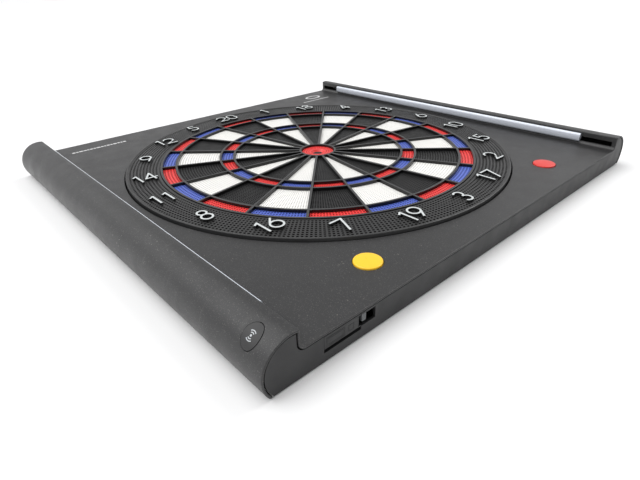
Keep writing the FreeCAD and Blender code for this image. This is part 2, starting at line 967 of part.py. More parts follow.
def make_power_switch_knob():
    x0 = knob_x()
    y0 = -wall_y + knob_setback
    middle = x0 + knob_width / 2
    cap = box(
        x0, x0 + knob_width, y0, switch_face() - slide_clear,
        knob_centre_z - knob_height / 2, knob_centre_z + knob_height / 2,
    )
    upright = [edge for edge in cap.Edges if edge.BoundBox.YLength > 1]
    cap = cap.makeFillet(knob_round, upright)
    stem = box(
        middle - knob_stem_width / 2, middle + knob_stem_width / 2,
        switch_face() - slide_clear - 0.5, switch_face() + knob_stem_reach,
        knob_centre_z - knob_stem_height / 2, knob_centre_z + knob_stem_height / 2,
    )
    return fuse([cap, stem])


def switch_face():
    return -wall_y + end_wall + switch_gap


def make_power_switch_body():
    x0 = knob_x() - switch_overhang
    y0 = switch_face()
    x1 = x0 + switch_body_width
    body = box(x0, x1, y0, y0 + switch_body_depth, board_top, board_top + switch_body_height)
    middle = knob_x() + knob_width / 2
    half = knob_stem_width / 2 + slide_clear
    half_z = knob_stem_height / 2 + slide_clear
    track = box(
        middle - half, middle + half + knob_travel, y0 - 1, y0 + knob_stem_reach + slide_clear,
        knob_centre_z - half_z, knob_centre_z + half_z,
    )
    return body.cut(track)


def socket_x():
    left, right = door_x()
    return (left + right) / 2 - socket_offset


def rounded_block(width_x, height_z, y0, y1, x, z):
    block = box(x - width_x / 2, x + width_x / 2, y0, y1, z - height_z / 2, z + height_z / 2)
    along = [edge for edge in block.Edges if edge.BoundBox.YLength > 1]
    return block.makeFillet(height_z / 2.1, along)


def make_power_socket():
    y0 = -wall_y + socket_setback
    y1 = y0 + socket_depth
    x = socket_x()
    z = board_top + socket_height / 2
    shell = rounded_block(socket_width, socket_height, y0, y1, x, z)
    inside = rounded_block(
        socket_width - 2 * socket_wall, socket_height - 2 * socket_wall, y0 - 1, y1 - socket_back, x, z
    )
    half = tongue_width / 2
    tongue = box(x - half, x + half, y0 + tongue_setback, y1 - 1, z - tongue_thick / 2, z + tongue_thick / 2)
    return fuse([shell.cut(inside), tongue])


# ---------------------------------------------------------------- main board
def make_main_board():
    x0 = -half_w + board_left
    y0 = -half_h + board_bottom
    board = box(x0, x0 + board_width, y0, y0 + board_height, board_z, board_top)
    for x, y in board_corner_places():
        board = board.cut(cyl(screw_hole, board_z, board_top, x, y))
    return board


def make_radio_module():
    x0 = -half_w + board_left + radio_left
    y0 = -half_h + board_bottom + radio_bottom
    return box(x0, x0 + radio_width, y0, y0 + radio_height, board_top, board_top + radio_thick)


def plug_places():
    """Lead plugs along the inner edge of the main board."""
    x0 = -half_w + board_left + plug_left
    y0 = -half_h + board_bottom + board_height - plug_depth - plug_inset
    return [(x0 + i * (plug_width + plug_gap), y0) for i in range(plug_count)]


def side_plug_place():
    """Mouth of the plug at the main board's left edge."""
    return (-half_w + board_left, -half_h + board_bottom + side_plug_bottom, board_top + plug_height / 2)


def make_board_plugs():
    top = board_top + plug_height
    plugs = [box(x, x + plug_width, y, y + plug_depth, board_top, top) for x, y in plug_places()]
    x, y = side_plug_place()[:2]
    plugs.append(box(x, x + plug_depth, y - plug_width / 2, y + plug_width / 2, board_top, top))
    half = tail_width / 2 + 2
    outer = tail_end_radius
    tail_plug = box(
        outer - tail_plug_front, outer + tail_plug_back, -half, half, board_z - tail_plug_height, board_z
    )
    plugs.append(turned(tail_plug, tail_angle))
    return Part.makeCompound(plugs)


# ---------------------------------------------------------------- screws
def screw(x, y, head_z, length):
    head = cyl(screw_head, head_z, head_z + screw_head_height, x, y)
    shank = cyl(screw_radius, head_z + screw_head_height - 0.2, head_z + length, x, y)
    return fuse([head, shank])


def make_housing_screws():
    head_z = back_z + screw_sink
    return Part.makeCompound([screw(x, y, head_z, housing_screw_length) for x, y in housing_screw_places()])


def make_plate_screws():
    head_z = back_z + screw_sink
    length = plate_top - plate_screw_bite - head_z
    return Part.makeCompound([screw(x, y, head_z, length) for x, y in plate_post_places()])


def make_ring_screws():
    head_z = plate_under + ring_screw_sink
    return Part.makeCompound([screw(x, y, head_z, ring_screw_length) for x, y in ring_boss_places()])


def make_board_screws():
    screws = []
    for x, y in board_corner_places():
        item = screw(0, 0, 0, board_screw_length)
        item.rotate(V(0, 0, 0), V(1, 0, 0), 180)
        item.translate(V(x, y, board_top + screw_head_height))
        screws.append(item)
    return Part.makeCompound(screws)


# ---------------------------------------------------------------- leads
def lead(name, points):
    """Round lead along straight runs joined by tangent arcs as large as the runs allow."""
    corners = [V(*point) for point in points]
    edges = []
    start = corners[0]
    smallest = 1e9
    for before, at, after in zip(corners, corners[1:], corners[2:]):
        inwards = (before - at).normalize()
        onwards = (after - at).normalize()
        shorter = min(before.distanceToPoint(at), after.distanceToPoint(at))
        turn = math.pi - inwards.getAngle(onwards)
        cut = 0.45 * shorter
        radius = cut / math.tan(turn / 2)
        smallest = min(smallest, radius)
        first = at + inwards * cut
        last = at + onwards * cut
        bisector = (inwards + onwards).normalize()
        centre = at + bisector * math.hypot(cut, radius)
        middle = centre - bisector * radius
        edges.append(Part.LineSegment(start, first).toShape())
        edges.append(Part.Arc(first, middle, last).toShape())
        start = last
    edges.append(Part.LineSegment(start, corners[-1]).toShape())
    wire = Part.Wire(edges)
    direction = corners[1] - corners[0]
    ring = Part.Wire(Part.makeCircle(lead_radius, corners[0], direction))
    solid = wire.makePipeShell([ring], True, False, 2)
    print(name, "length", round(wire.Length, 1), "smallest radius", round(smallest, 1))
    expected = math.pi * lead_radius ** 2 * wire.Length
    print(name, "volume over section times length", round(solid.Volume / expected, 4))
    return solid


def lead_routes():
    """Points of each internal lead, from its plug on the main board to what it feeds."""
    plug_z = board_top + plug_height / 2
    starts = [(x + plug_width / 2, y + plug_depth, plug_z) for x, y in plug_places()]
    light_x = inner_face + light_board_setback + pcb / 2
    light_z = light_board_levels()[0]
    light_y = -bar_length / 2 + 17.0
    button_at = -half_h + button_y
    floor_z = floor_top + lead_radius + 0.4
    edge = -half_h
    left, second, third, fourth = starts[0], starts[2], starts[3], starts[4]
    roll_board = oval_levels()[3] - pcb
    tilt = math.radians(oval_tilt)
    oval_at = (
        -roll_x - roll_board * math.sin(tilt), -half_h + oval_y, roll_z + roll_board * math.cos(tilt),
    )
    side_plug = side_plug_place()
    lean = math.sin(tilt)
    upright = math.cos(tilt)
    board_end = button_at + post_spread + post_radius + switch_board_margin
    board_mid = button_levels()[3] - pcb / 2
    board_side = button_x - switch_board_width / 2
    return {
        "lead_left_light": [
            left,
            (left[0], left[1] + 9.5, plug_z),
            (left[0] - 8, left[1] + 16.5, 16.0),
            (-light_x + 13.3, left[1] + 13.5, 13.0),
            (-light_x + 2.8, light_y + 3, 15.0),
            (-light_x, light_y, 20.5),
            (-light_x, light_y, light_z),
        ],
        "lead_yellow": [
            second,
            (second[0], second[1] + 10, plug_z),
            (second[0] + 12, second[1] + 20.5, 14.5),
            (second[0] + 29, second[1] + 24, 12.0),
            (-button_x - 9, board_end + 19, 10.5),
            (-button_x, board_end + 11, board_mid),
            (-button_x, board_end, board_mid),
        ],
        "lead_red": [
            third,
            (third[0], third[1] + 11.5, plug_z),
            (third[0] + 9, third[1] + 18, 11.5),
            (-button_x - 18, button_at + 24, floor_z),
            (-button_x - 4, button_at + 9, floor_z),
            (-button_x + 24, edge + 32.5, floor_z),
            (-92, edge + 27, floor_z),
            (-42, edge + 25.5, floor_z),
            (8, edge + 26, floor_z),
            (58, edge + 25, floor_z),
            (104, edge + 29.5, floor_z),
            (button_x - 32, button_at - 6, 6.0),
            (button_x - 19, button_at + 8, board_mid),
            (board_side, button_at + 8, board_mid),
        ],
        "lead_right_light": [
            fourth,
            (fourth[0], fourth[1] + 9.5, plug_z),
            (fourth[0] + 7, fourth[1] + 16, 14.5),
            (fourth[0] + 15, fourth[1] + 16.5, 12.0),
            (fourth[0] + 22.5, fourth[1] + 6.5, 9.5),
            (-button_x - 2, button_at + 5, 8.0),
            (-button_x + 21, edge + 26.5, 8.0),
            (-94, edge + 21, 8.0),
            (-44, edge + 19.5, 8.0),
            (6, edge + 20.5, 8.0),
            (56, edge + 19, 8.0),
            (106, edge + 21.5, 8.0),
            (button_x - 14, edge + 28.5, 8.0),
            (button_x + 16, button_at + 2, 8.0),
            (button_x + 51, button_at + 15, 9.0),
            (light_x - 27, button_at + 24, 11.0),
            (light_x - 4.5, light_y + 3.5, 11.5),
            (light_x, light_y, 18.0),
            (light_x, light_y, light_z),
        ],
        "lead_wireless": [
            side_plug,
            (side_plug[0] - 6.8, side_plug[1], side_plug[2]),
            (side_plug[0] - 11.6, side_plug[1] - 4.8, side_plug[2] - 2.3),
            (oval_at[0] + lean * 11.4, oval_at[1] + 4.8, oval_at[2] - upright * 11.4),
            (oval_at[0] + lean * 6.7, oval_at[1], oval_at[2] - upright * 6.7),
            oval_at,
        ],
    }


# ---------------------------------------------------------------- build
def main():
    os.makedirs("parts", exist_ok=True)
    save("front_cover", make_front_cover())
    save("rear_housing", make_rear_housing())
    save("back_pads", make_back_pads())
    save("port_cover", make_port_cover())
    save("port_cover_pin", hinge_pin_shape(hinge_pin_radius))
    save("spider", make_spider())
    for index, number in enumerate(numbers):
        save("sector_%02d" % number, make_sector(index))
    save("outer_bull", make_outer_bull())
    save("inner_bull", make_inner_bull())
    save("rubber_mat", make_rubber_mat())
    save("sensor_film", make_sensor_film())
    save("backing_plate", make_backing_plate())
    save("number_ring", make_number_ring())
    save("numerals", make_numerals())
    for name, maker in (
        ("diffuser", make_diffuser_right), ("light_board", make_light_board_right), ("leds", make_leds_right),
    ):
        right = maker()
        save(name + "_right", right)
        save(name + "_left", mirror_x(right))
    for name, (x, y) in button_places().items():
        save(name, round_button(x, y))
    save("wireless_button", oval_button())
    save("switch_boards", make_switch_boards())
    save("tact_switches", make_tact_switches())
    save("power_switch_knob", make_power_switch_knob())
    save("power_switch_body", make_power_switch_body())
    save("power_socket", make_power_socket())
    save("main_board", make_main_board())
    save("radio_module", make_radio_module())
    save("board_plugs", make_board_plugs())
    save("housing_screws", make_housing_screws())
    save("plate_screws", make_plate_screws())
    save("ring_screws", make_ring_screws())
    save("board_screws", make_board_screws())
    for name, points in lead_routes().items():
        save(name, lead(name, points))


main()
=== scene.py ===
"""Electronic soft-tip dartboard lying on its back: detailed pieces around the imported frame."""

import math

import bmesh
import bpy
from bpy.props import FloatProperty, FloatVectorProperty, IntProperty, PointerProperty
from mathutils import Matrix, Vector


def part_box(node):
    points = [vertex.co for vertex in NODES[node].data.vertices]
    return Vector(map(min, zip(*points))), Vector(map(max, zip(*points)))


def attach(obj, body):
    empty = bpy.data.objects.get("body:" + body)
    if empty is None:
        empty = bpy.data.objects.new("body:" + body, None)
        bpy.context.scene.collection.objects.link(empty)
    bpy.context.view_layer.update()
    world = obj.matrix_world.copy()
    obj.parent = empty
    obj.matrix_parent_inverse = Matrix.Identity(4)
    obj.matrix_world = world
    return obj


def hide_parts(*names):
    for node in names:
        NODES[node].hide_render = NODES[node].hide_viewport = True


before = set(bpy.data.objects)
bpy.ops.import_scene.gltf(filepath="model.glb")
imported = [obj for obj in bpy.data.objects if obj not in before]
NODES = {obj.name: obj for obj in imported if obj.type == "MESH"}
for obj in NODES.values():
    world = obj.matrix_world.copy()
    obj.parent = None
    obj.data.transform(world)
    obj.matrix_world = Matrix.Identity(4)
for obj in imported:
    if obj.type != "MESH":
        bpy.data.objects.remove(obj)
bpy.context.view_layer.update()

bl_info = {
    "name": "Electronic Dartboard",
    "version": (1, 0, 0),
    "blender": (4, 5, 0),
    "location": "View3D > Sidebar > Dartboard",
    "description": "Detailed pieces and finishes of an electronic soft-tip dartboard",
    "category": "Object",
}

NUMBERS = (20, 1, 18, 4, 13, 6, 10, 15, 2, 17, 3, 19, 7, 16, 8, 11, 14, 9, 12, 5)
SECTOR_STEP = 2 * math.pi / len(NUMBERS)
HALF_SECTOR = SECTOR_STEP / 2
OVAL_TILT = math.radians(38.0)
OVAL_HALF = (0.0097, 0.0077)


# ------------------------------------------------------------------ settings
def length(name, words, size, low=0.0):
    return FloatProperty(name=name, description=words, default=size, min=low, unit="LENGTH", precision=5)


def colour(name, words, value):
    return FloatVectorProperty(
        name=name, description=words, default=value, size=3, subtype="COLOR", min=0.0, max=1.0
    )


class CasingSizes(bpy.types.PropertyGroup):
    skin: length("Skin", "Wall of the front cover", 0.002)
    panel: length("Panel", "Height of the flat panel", 0.0255)
    roll_radius: length("Roll radius", "Outer radius of the two side rolls", 0.0255)
    roll_reach: length("Roll reach", "From the side to the roll's inner face", 0.0317)
    fillet: length("Fillet", "Concave round between panel and roll", 0.0045)
    lip: length("Lip", "Round on top of the roll's inner face", 0.0012)
    skirt: length("Skirt", "Height of the cover's lower edge", 0.0016)
    end_round: length("End round", "Outer round of the cover's two ends", 0.0008)
    inner_round: length("Inner round", "Inner round of the cover's two ends", 0.001)
    target_hole: length("Target hole", "Radius of the round hole for the target", 0.2409)
    hole_round: length("Hole round", "Chamfer on the cover's holes", 0.0004)
    slot_bottom: length("Slot bottom", "Lower edge of the slot for the light bars", 0.0292)
    slot_height: length("Slot height", "Height of the slot for the light bars", 0.006)
    slot_end: length("Slot end", "Solid stretch at each end of the slot", 0.005)
    button_flange: length("Button flange", "Reach of a button's hidden foot", 0.0012)
    button_foot: length("Button foot", "Thickness of a button's hidden foot", 0.0016)
    button_stem: length("Button stem", "Radius of the stem under a button", 0.003)
    button_clear: length("Button clearance", "Gap round the buttons", 0.0004)


class TargetSizes(bpy.types.PropertyGroup):
    ridge: length("Ridge", "Width of the web's ridges", 0.0029)
    ridge_round: length("Ridge round", "Round along the top of the ridges", 0.0006)
    web_depth: length("Web depth", "Height of the ridges", 0.0109)
    hub: length("Hub", "Middle radius of the ridge round the bull", 0.0227)
    triple_inner: length("Triple inside", "Middle radius of the ridge inside the triples", 0.1089)
    triple_outer: length("Triple outside", "Middle radius of the ridge outside the triples", 0.1262)
    double_inner: length("Double inside", "Middle radius of the ridge inside the doubles", 0.1804)
    double_outer: length("Double outside", "Middle radius of the ridge outside the doubles", 0.1983)
    gap: length("Gap", "Between a segment and the web", 0.00035)
    flange: length("Flange", "Reach of a segment's foot under the web", 0.0008)
    flange_height: length("Flange height", "Thickness of a segment's foot", 0.0015)
    hole_row: length("Row pitch", "From one row of holes to the next", 0.003)
    hole_margin: length("Margin", "Solid rim round a segment's holes", 0.0009)
    hole_depth: length("Hole depth", "Depth of the segments' holes", 0.003)
    hole_share: FloatProperty(name="Hole share", description="Share of a row that a hole takes", default=0.5)
    columns: IntProperty(name="Columns", description="Columns of holes across an outer segment", default=18)
    ring_rows: IntProperty(name="Ring rows", description="Rows of holes round the number ring", default=9)
    ring_depth: length("Ring hole depth", "Depth of the number ring's holes", 0.0019)
    ring_rim: length("Ring rim", "Width of the number ring's raised rim", 0.003)
    bull_hole: length("Bull hole", "Radius of the outer bull's hole", 0.0063)
    bull_mouth: length("Bull mouth", "Radius of the outer bull's tapered mouth", 0.009)
    bull_taper: length("Bull taper", "Depth of the tapered mouth", 0.0034)
    bull_counterbore: length("Bull counterbore", "Radius under the outer bull for the inner one", 0.0082)
    inner_bull: length("Inner bull", "Radius of the inner bull", 0.006)
    inner_flange: length("Inner flange", "Radius of the inner bull's foot", 0.0074)


class Finishes(bpy.types.PropertyGroup):
    casing: colour("Casing", "Moulded casing", (0.020, 0.020, 0.0206))
    ring: colour("Number ring", "Number ring", (0.019, 0.019, 0.0192))
    web: colour("Web", "Ridges between the segments", (0.010, 0.010, 0.0102))
    black: colour("Black segments", "Black single segments", (0.014, 0.014, 0.0143))
    white: colour("White segments", "White single segments", (0.90, 0.89, 0.86))
    red: colour("Red segments", "Red doubles, triples and bull", (0.78, 0.040, 0.038))
    blue: colour("Blue segments", "Blue doubles and triples", (0.085, 0.135, 0.52))
    yellow_button: colour("Yellow button", "Yellow button", (0.96, 0.56, 0.02))
    red_button: colour("Red button", "Red button", (0.68, 0.030, 0.022))
    diffuser: colour("Light bars", "Milky light bars", (0.56, 0.59, 0.65))
    print_grey: colour("Print", "Printed marks", (0.55, 0.55, 0.55))


class StageSizes(bpy.types.PropertyGroup):
    camera_place: FloatVectorProperty(
        name="Camera place", description="Where the camera stands", subtype="TRANSLATION",
        default=(-0.39649, -0.44741, 0.22969), unit="LENGTH",
    )
    camera_aim: FloatVectorProperty(
        name="Camera aim", description="Point that the camera looks at", subtype="TRANSLATION",
        default=(-0.12777, -0.14358, 0.0), unit="LENGTH",
    )
    camera_roll: FloatProperty(name="Roll", description="Turn round the view axis, degrees", default=-1.795)
    camera_lens: FloatProperty(name="Lens", description="Focal length on a 36 mm sensor", default=26.467)
    floor_size: length("Floor", "Side of the floor", 14.0)


def casing():
    return bpy.context.scene.board_casing


def target():
    return bpy.context.scene.board_target


def finishes():
    return bpy.context.scene.board_finishes


# ------------------------------------------------------------------ materials
class Shader:
    """A node material on object coordinates, with one principled shader."""

    def __init__(self, name, roughness=0.5, **inputs):
        self.material = bpy.data.materials.new(name)
        self.material.use_nodes = True
        self.tree = self.material.node_tree
        self.surface = self.tree.nodes["Principled BSDF"]
        self.surface.inputs["Roughness"].default_value = roughness
        for socket, value in inputs.items():
            self.surface.inputs[socket.replace("_", " ")].default_value = value
        self.place = self.tree.nodes.new("ShaderNodeTexCoord").outputs["Object"]

    def node(self, kind, settings=None, **inputs):
        return add(self.tree, kind, settings, **inputs)

    def along(self, axis):
        """The place along an axis: 0 for x, 1 for y, 2 for z."""
        return self.node("ShaderNodeSeparateXYZ", Vector=self.place).outputs[axis]

    def rise(self, low, high):
        """0 up to one height, 1 from another."""
        return self.node("ShaderNodeMapRange", Value=self.along(2), From_Min=low, From_Max=high).outputs[0]

    def noise(self, scale, detail=3.0, stretch=(1, 1, 1)):
        placed = self.node("ShaderNodeMapping", Vector=self.place, Scale=stretch).outputs[0]
        return self.node("ShaderNodeTexNoise", Vector=placed, Scale=scale, Detail=detail).outputs[0]

    def ramp(self, value, *stops):
        made = self.tree.nodes.new("ShaderNodeValToRGB")
        self.tree.links.new(value, made.inputs[0])
        elements = made.color_ramp.elements
        while len(elements) < len(stops):
            elements.new(0.5)
        for element, (place, shade) in zip(elements, stops):
            element.position = place
            element.color = (*shade, 1) if len(shade) == 3 else shade
        return made.outputs[0]

    def grey(self, value, low, high, start=0.3, end=0.7):
        return self.ramp(value, (start, (low,) * 3), (end, (high,) * 3))

    def mix(self, share, first, second, blend="MIX"):
        made = self.tree.nodes.new("ShaderNodeMix")
        made.data_type = "RGBA"
        made.blend_type = blend
        for socket, value in ((made.inputs[0], share), (made.inputs[6], first), (made.inputs[7], second)):
            if isinstance(value, bpy.types.NodeSocket):
                self.tree.links.new(value, socket)
            elif socket.type == "VALUE":
                socket.default_value = value
            else:
                socket.default_value = (*value, 1) if len(value) == 3 else value
        return made.outputs[2]

    def drift(self, tint, scale, detail, low, high):
        """A tint that wanders between two shades of itself."""
        return self.mix(self.noise(scale, detail), shade_of(tint, low), shade_of(tint, high))

    def paint(self, value):
        self.tree.links.new(value, self.surface.inputs["Base Color"])

    def roughen(self, value):
        self.tree.links.new(value, self.surface.inputs["Roughness"])

    def bump(self, height, distance, strength=1.0):
        made = self.node("ShaderNodeBump", Height=height, Distance=distance, Strength=strength)
        self.tree.links.new(made.outputs[0], self.surface.inputs["Normal"])


def shade_of(tint, factor):
    return tuple(min(1.0, channel * factor) for channel in tint)


def moulded(name, tint, roughness=0.5, grain=1800.0, depth=0.00004, spread=0.12, dust=0.0):
    """Moulded plastic: spark-eroded grain, slow drift in tone and gloss, and dust if asked for."""
    made = Shader(name, roughness, Specular_IOR_Level=0.45)
    tone = made.drift(tint, 9.0, 4.0, 1 - spread, 1 + spread)
    if dust:
        specks = made.ramp(made.noise(620.0, 1.0), (0.735, (0, 0, 0)), (0.79, (1, 1, 1)))
        patches = made.grey(made.noise(14.0, 2.0), 0.0, dust, 0.42, 0.7)
        share = made.mix(1.0, specks, patches, "MULTIPLY")
        tone = made.mix(share, tone, (0.30, 0.29, 0.27))
    made.paint(tone)
    made.roughen(made.grey(made.noise(60.0, 4.0), roughness - 0.07, roughness + 0.07))
    made.bump(made.noise(grain, 2.0), depth)
    return made.material


def rolled_casing():
    """The casing's black: fine grain, with dust and pale scuffs along the two rolls."""
    tint = finishes().casing
    made = Shader("casing_black", 0.5, Specular_IOR_Level=0.5)
    tone = made.drift(tint, 7.0, 5.0, 0.86, 1.16)
    out = made.node("ShaderNodeMath", {"operation": "ABSOLUTE"}, Value=made.along(0)).outputs[0]
    roll = made.grey(out, 0.0, 1.0, 0.235, 0.268)
    fine = made.ramp(made.noise(520.0, 1.0), (0.72, (0, 0, 0)), (0.77, (1, 1, 1)))
    dust = made.grey(made.noise(17.0, 2.0), 0.12, 0.95, 0.4, 0.68)
    share = made.mix(1.0, fine, dust, "MULTIPLY")
    tone = made.mix(share, tone, (0.21, 0.20, 0.18))
    grit = made.ramp(made.noise(1500.0, 0.0), (0.70, (0, 0, 0)), (0.76, (0.5, 0.5, 0.5)))
    tone = made.mix(grit, tone, (0.16, 0.155, 0.15))
    scuffs = made.ramp(made.noise(75.0, 6.0, (0.35, 3.0, 0.35)), (0.60, (0, 0, 0)), (0.78, (1, 1, 1)))
    worn = made.mix(1.0, scuffs, roll, "MULTIPLY")
    tone = made.mix(made.mix(1.0, worn, (0.4, 0.4, 0.4), "MULTIPLY"), tone, (0.085, 0.083, 0.08))
    made.paint(tone)
    made.roughen(made.grey(made.noise(45.0, 5.0), 0.36, 0.47))
    made.bump(made.noise(2300.0, 2.0), 0.00005)
    return made.material


def glossy(name, tint, roughness=0.22, coat=0.0, waviness=0.00001, subsurface=0.0, shine=0.5):
    """Polished plastic with faint waves and hairline wear."""
    made = Shader(name, roughness, Specular_IOR_Level=shine, Coat_Weight=coat)
    if subsurface:
        made.surface.inputs["Subsurface Weight"].default_value = subsurface
        made.surface.inputs["Subsurface Radius"].default_value = (0.004, 0.003, 0.0025)
        made.surface.inputs["Subsurface Scale"].default_value = 0.4
    made.paint(made.drift(tint, 30.0, 4.0, 0.93, 1.07))
    made.roughen(made.grey(made.noise(140.0, 5.0), max(0.02, roughness - 0.06), roughness + 0.1))
    made.bump(made.noise(260.0, 2.0), waviness)
    return made.material


def milky(name, tint):
    """A light bar with painted shade and light: its tint painted darker towards the bottom and paler towards
    the top, under a faint haze.
    """
    made = Shader(name, 0.3, Specular_IOR_Level=0.5, Coat_Weight=0.15)
    low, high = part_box("diffuser_right")
    # Painted shade and light: the tint is painted at 0.55 of itself at the bottom of the bar, rising to 1.5
    # at the top.
    stops = ((0.0, 0.55), (0.3, 0.8), (0.75, 1.2), (0.95, 1.35), (1.0, 1.5))
    body = made.ramp(made.rise(low.z, high.z), *((place, shade_of(tint, shade)) for place, shade in stops))
    haze = made.grey(made.noise(25.0, 3.0), 0.93, 1.0)
    made.paint(made.mix(1.0, body, haze, "MULTIPLY"))
    made.roughen(made.grey(made.noise(180.0, 3.0), 0.24, 0.38))
    made.bump(made.noise(700.0, 2.0), 0.00001)
    return made.material


def two_tone(name, low_tint, high_tint, height):
    """One tint below a height and another above it, as on printed raised figures."""
    made = Shader(name, 0.38, Specular_IOR_Level=0.5)
    wear = made.grey(made.noise(420.0, 4.0), 0.9, 1.0, 0.3, 0.6)
    top = made.mix(1.0, high_tint, wear, "MULTIPLY")
    made.paint(made.mix(made.rise(height - 0.0001, height), low_tint, top))
    made.roughen(made.grey(made.noise(160.0, 4.0), 0.3, 0.46))
    made.bump(made.noise(1500.0, 2.0), 0.00002)
    return made.material


def web_plastic(tint, top):
    """The web's black with painted light and shade: flat tops painted paler than the tint, walls painted
    darker; tops duller, walls glossier.
    """
    made = Shader("web_black", 0.35, Specular_IOR_Level=0.4)
    # The mask picks the flat tops; they are painted at 3.6 to 4.8 times the tint as painted light, the walls
    # at half of it as painted shade.
    rise = made.rise(top - 0.0001, top - 0.00002)
    made.paint(made.mix(rise, shade_of(tint, 0.5), made.drift(tint, 24.0, 4.0, 3.6, 4.8)))
    wear = made.grey(made.noise(90.0, 5.0), 0.4, 0.55)
    made.roughen(made.mix(rise, (0.16, 0.16, 0.16), wear))
    made.bump(made.noise(420.0, 3.0), 0.00004)
    return made.material


def painted_hole_shade(name, tint, shade):
    """Painted shade for the dull inside of holes: the tint at a darker shade of it, where little light
    reaches.
    """
    tint = shade_of(tint, shade)
    made = Shader(name, 0.85, Specular_IOR_Level=0.1)
    made.paint(made.drift(tint, 300.0, 2.0, 0.85, 1.15))
    made.bump(made.noise(1200.0, 2.0), 0.00002)
    return made.material


def brushed(name, tint, roughness=0.32):
    made = Shader(name, roughness, Metallic=1.0)
    streaks = made.noise(900.0, 4.0, (0.1, 1.0, 1.0))
    made.paint(made.mix(streaks, shade_of(tint, 0.85), shade_of(tint, 1.05)))
    made.roughen(made.grey(streaks, roughness - 0.1, roughness + 0.12))
    made.bump(streaks, 0.00001)
    return made.material


def circuit(name, tint):
    """Solder mask with copper tracks under it and pale pads."""
    made = Shader(name, 0.32, Specular_IOR_Level=0.5, Coat_Weight=0.2)
    tracks = made.node(
        "ShaderNodeTexBrick", {"offset": 0.37, "squash": 1.4}, Vector=made.place, Scale=160.0,
        Mortar_Size=0.07, Color1=(0, 0, 0, 1), Color2=(0, 0, 0, 1), Mortar=(1, 1, 1, 1),
    ).outputs[0]
    tone = made.mix(tracks, shade_of(tint, 0.8), shade_of(tint, 1.9))
    pads = made.node("ShaderNodeTexVoronoi", Vector=made.place, Scale=230.0).outputs[0]
    made.paint(made.mix(made.ramp(pads, (0.1, (1, 1, 1)), (0.13, (0, 0, 0))), tone, (0.5, 0.5, 0.46)))
    made.roughen(made.grey(tracks, 0.3, 0.4, 0.0, 1.0))
    made.bump(tracks, 0.00003)
    return made.material


def rubber(name, tint, grain=900.0):
    made = Shader(name, 0.75, Specular_IOR_Level=0.3)
    made.paint(made.drift(tint, 50.0, 4.0, 0.85, 1.2))
    made.roughen(made.grey(made.noise(240.0, 3.0), 0.66, 0.86))
    made.bump(made.noise(grain, 3.0), 0.00006)
    return made.material


# ------------------------------------------------------------------ mesh helpers
def linked(name, mesh, material, crease):
    """A piece in the scene, smooth up to the crease angle."""
    piece = bpy.data.objects.new(name, mesh)
    bpy.context.scene.collection.objects.link(piece)
    mesh.materials.append(material)
    smooth(mesh, crease)
    return piece


def mesh_piece(name, points, faces, material, crease=32.0):
    mesh = bpy.data.meshes.new(name)
    mesh.from_pydata(points, [], faces)
    mesh.validate()
    return linked(name, mesh, material, crease)


def smooth(mesh, crease=32.0):
    mesh.shade_smooth()
    mesh.set_sharp_from_angle(angle=math.radians(crease))


def finish_piece(piece, body, slot, *replaced):
    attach(piece, body)
    if replaced:
        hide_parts(*replaced)
    return piece


def bake(piece):
    """Turn a piece and its modifiers into a plain mesh."""
    bpy.context.view_layer.update()
    evaluated = piece.evaluated_get(bpy.context.evaluated_depsgraph_get())
    mesh = bpy.data.meshes.new_from_object(evaluated)
    mesh.name = piece.name
    piece.modifiers.clear()
    old = piece.data
    piece.data = mesh
    bpy.data.meshes.remove(old)
    return piece


def weigh_normals(piece):
    """Let large flat faces keep their own direction beside small rounds."""
    change = piece.modifiers.new("weights", "WEIGHTED_NORMAL")
    change.keep_sharp = True
    return bake(piece)


def shell_piece(name, shell, material, crease):
    """A piece from a mesh under construction, which ends here."""
    mesh = bpy.data.meshes.new(name)
    shell.to_mesh(mesh)
    shell.free()
    return weigh_normals(linked(name, mesh, material, crease))


def round_edges(shell, edges, size, steps):
    bmesh.ops.bevel(
        shell, geom=edges, offset=size, segments=steps, profile=0.5, affect="EDGES", clamp_overlap=False,
    )


def merged(node):
    """A CAD node's mesh with its doubled corners joined."""
    shell = bmesh.new()
    shell.from_mesh(NODES[node].data)
    bmesh.ops.remove_doubles(shell, verts=shell.verts, dist=1e-6)
    return shell


def refined(node, name, material, round_size=0.0, steps=2, crease=35.0):
    """A merged copy of a CAD node with rounded edges."""
    shell = merged(node)
    bmesh.ops.dissolve_limit(shell, angle_limit=math.radians(0.6), verts=shell.verts, edges=shell.edges)
    if round_size:
        edges = [
            edge for edge in shell.edges
            if len(edge.link_faces) == 2 and edge.calc_face_angle(0) > math.radians(crease)
        ]
        round_edges(shell, edges, round_size, steps)
    return shell_piece(name, shell, material, crease)


def dress(node, name, body, slot, material, round_size=0.0, steps=2):
    """Put a refined copy of a CAD node in its place."""
    return finish_piece(refined(node, name, material, round_size, steps), body, slot, node)


def circle(radius, count, start=0.0):
    step = 2 * math.pi / count
    return [(radius * math.cos(start + i * step), radius * math.sin(start + i * step)) for i in range(count)]


def prisms(outlines, low, high):
    """Points and faces of upright prisms on outlines of (x, y)."""
    points = []
    faces = []
    for outline in outlines:
        base = len(points)
        count = len(outline)
        points += [(x, y, z) for z in (low, high) for x, y in outline]
        faces.append([base + i for i in reversed(range(count))])
        faces.append([base + count + i for i in range(count)])
        for i in range(count):
            j = (i + 1) % count
            faces.append([base + i, base + j, base + count + j, base + count + i])
    return points, faces


def quarter(radius, steps):
    """Offsets (inwards, down) along a convex quarter round, from its side to its top."""
    turns = [math.pi / 2 * i / steps for i in range(steps + 1)]
    return [(radius * (1 - math.cos(turn)), radius * (1 - math.sin(turn))) for turn in turns]


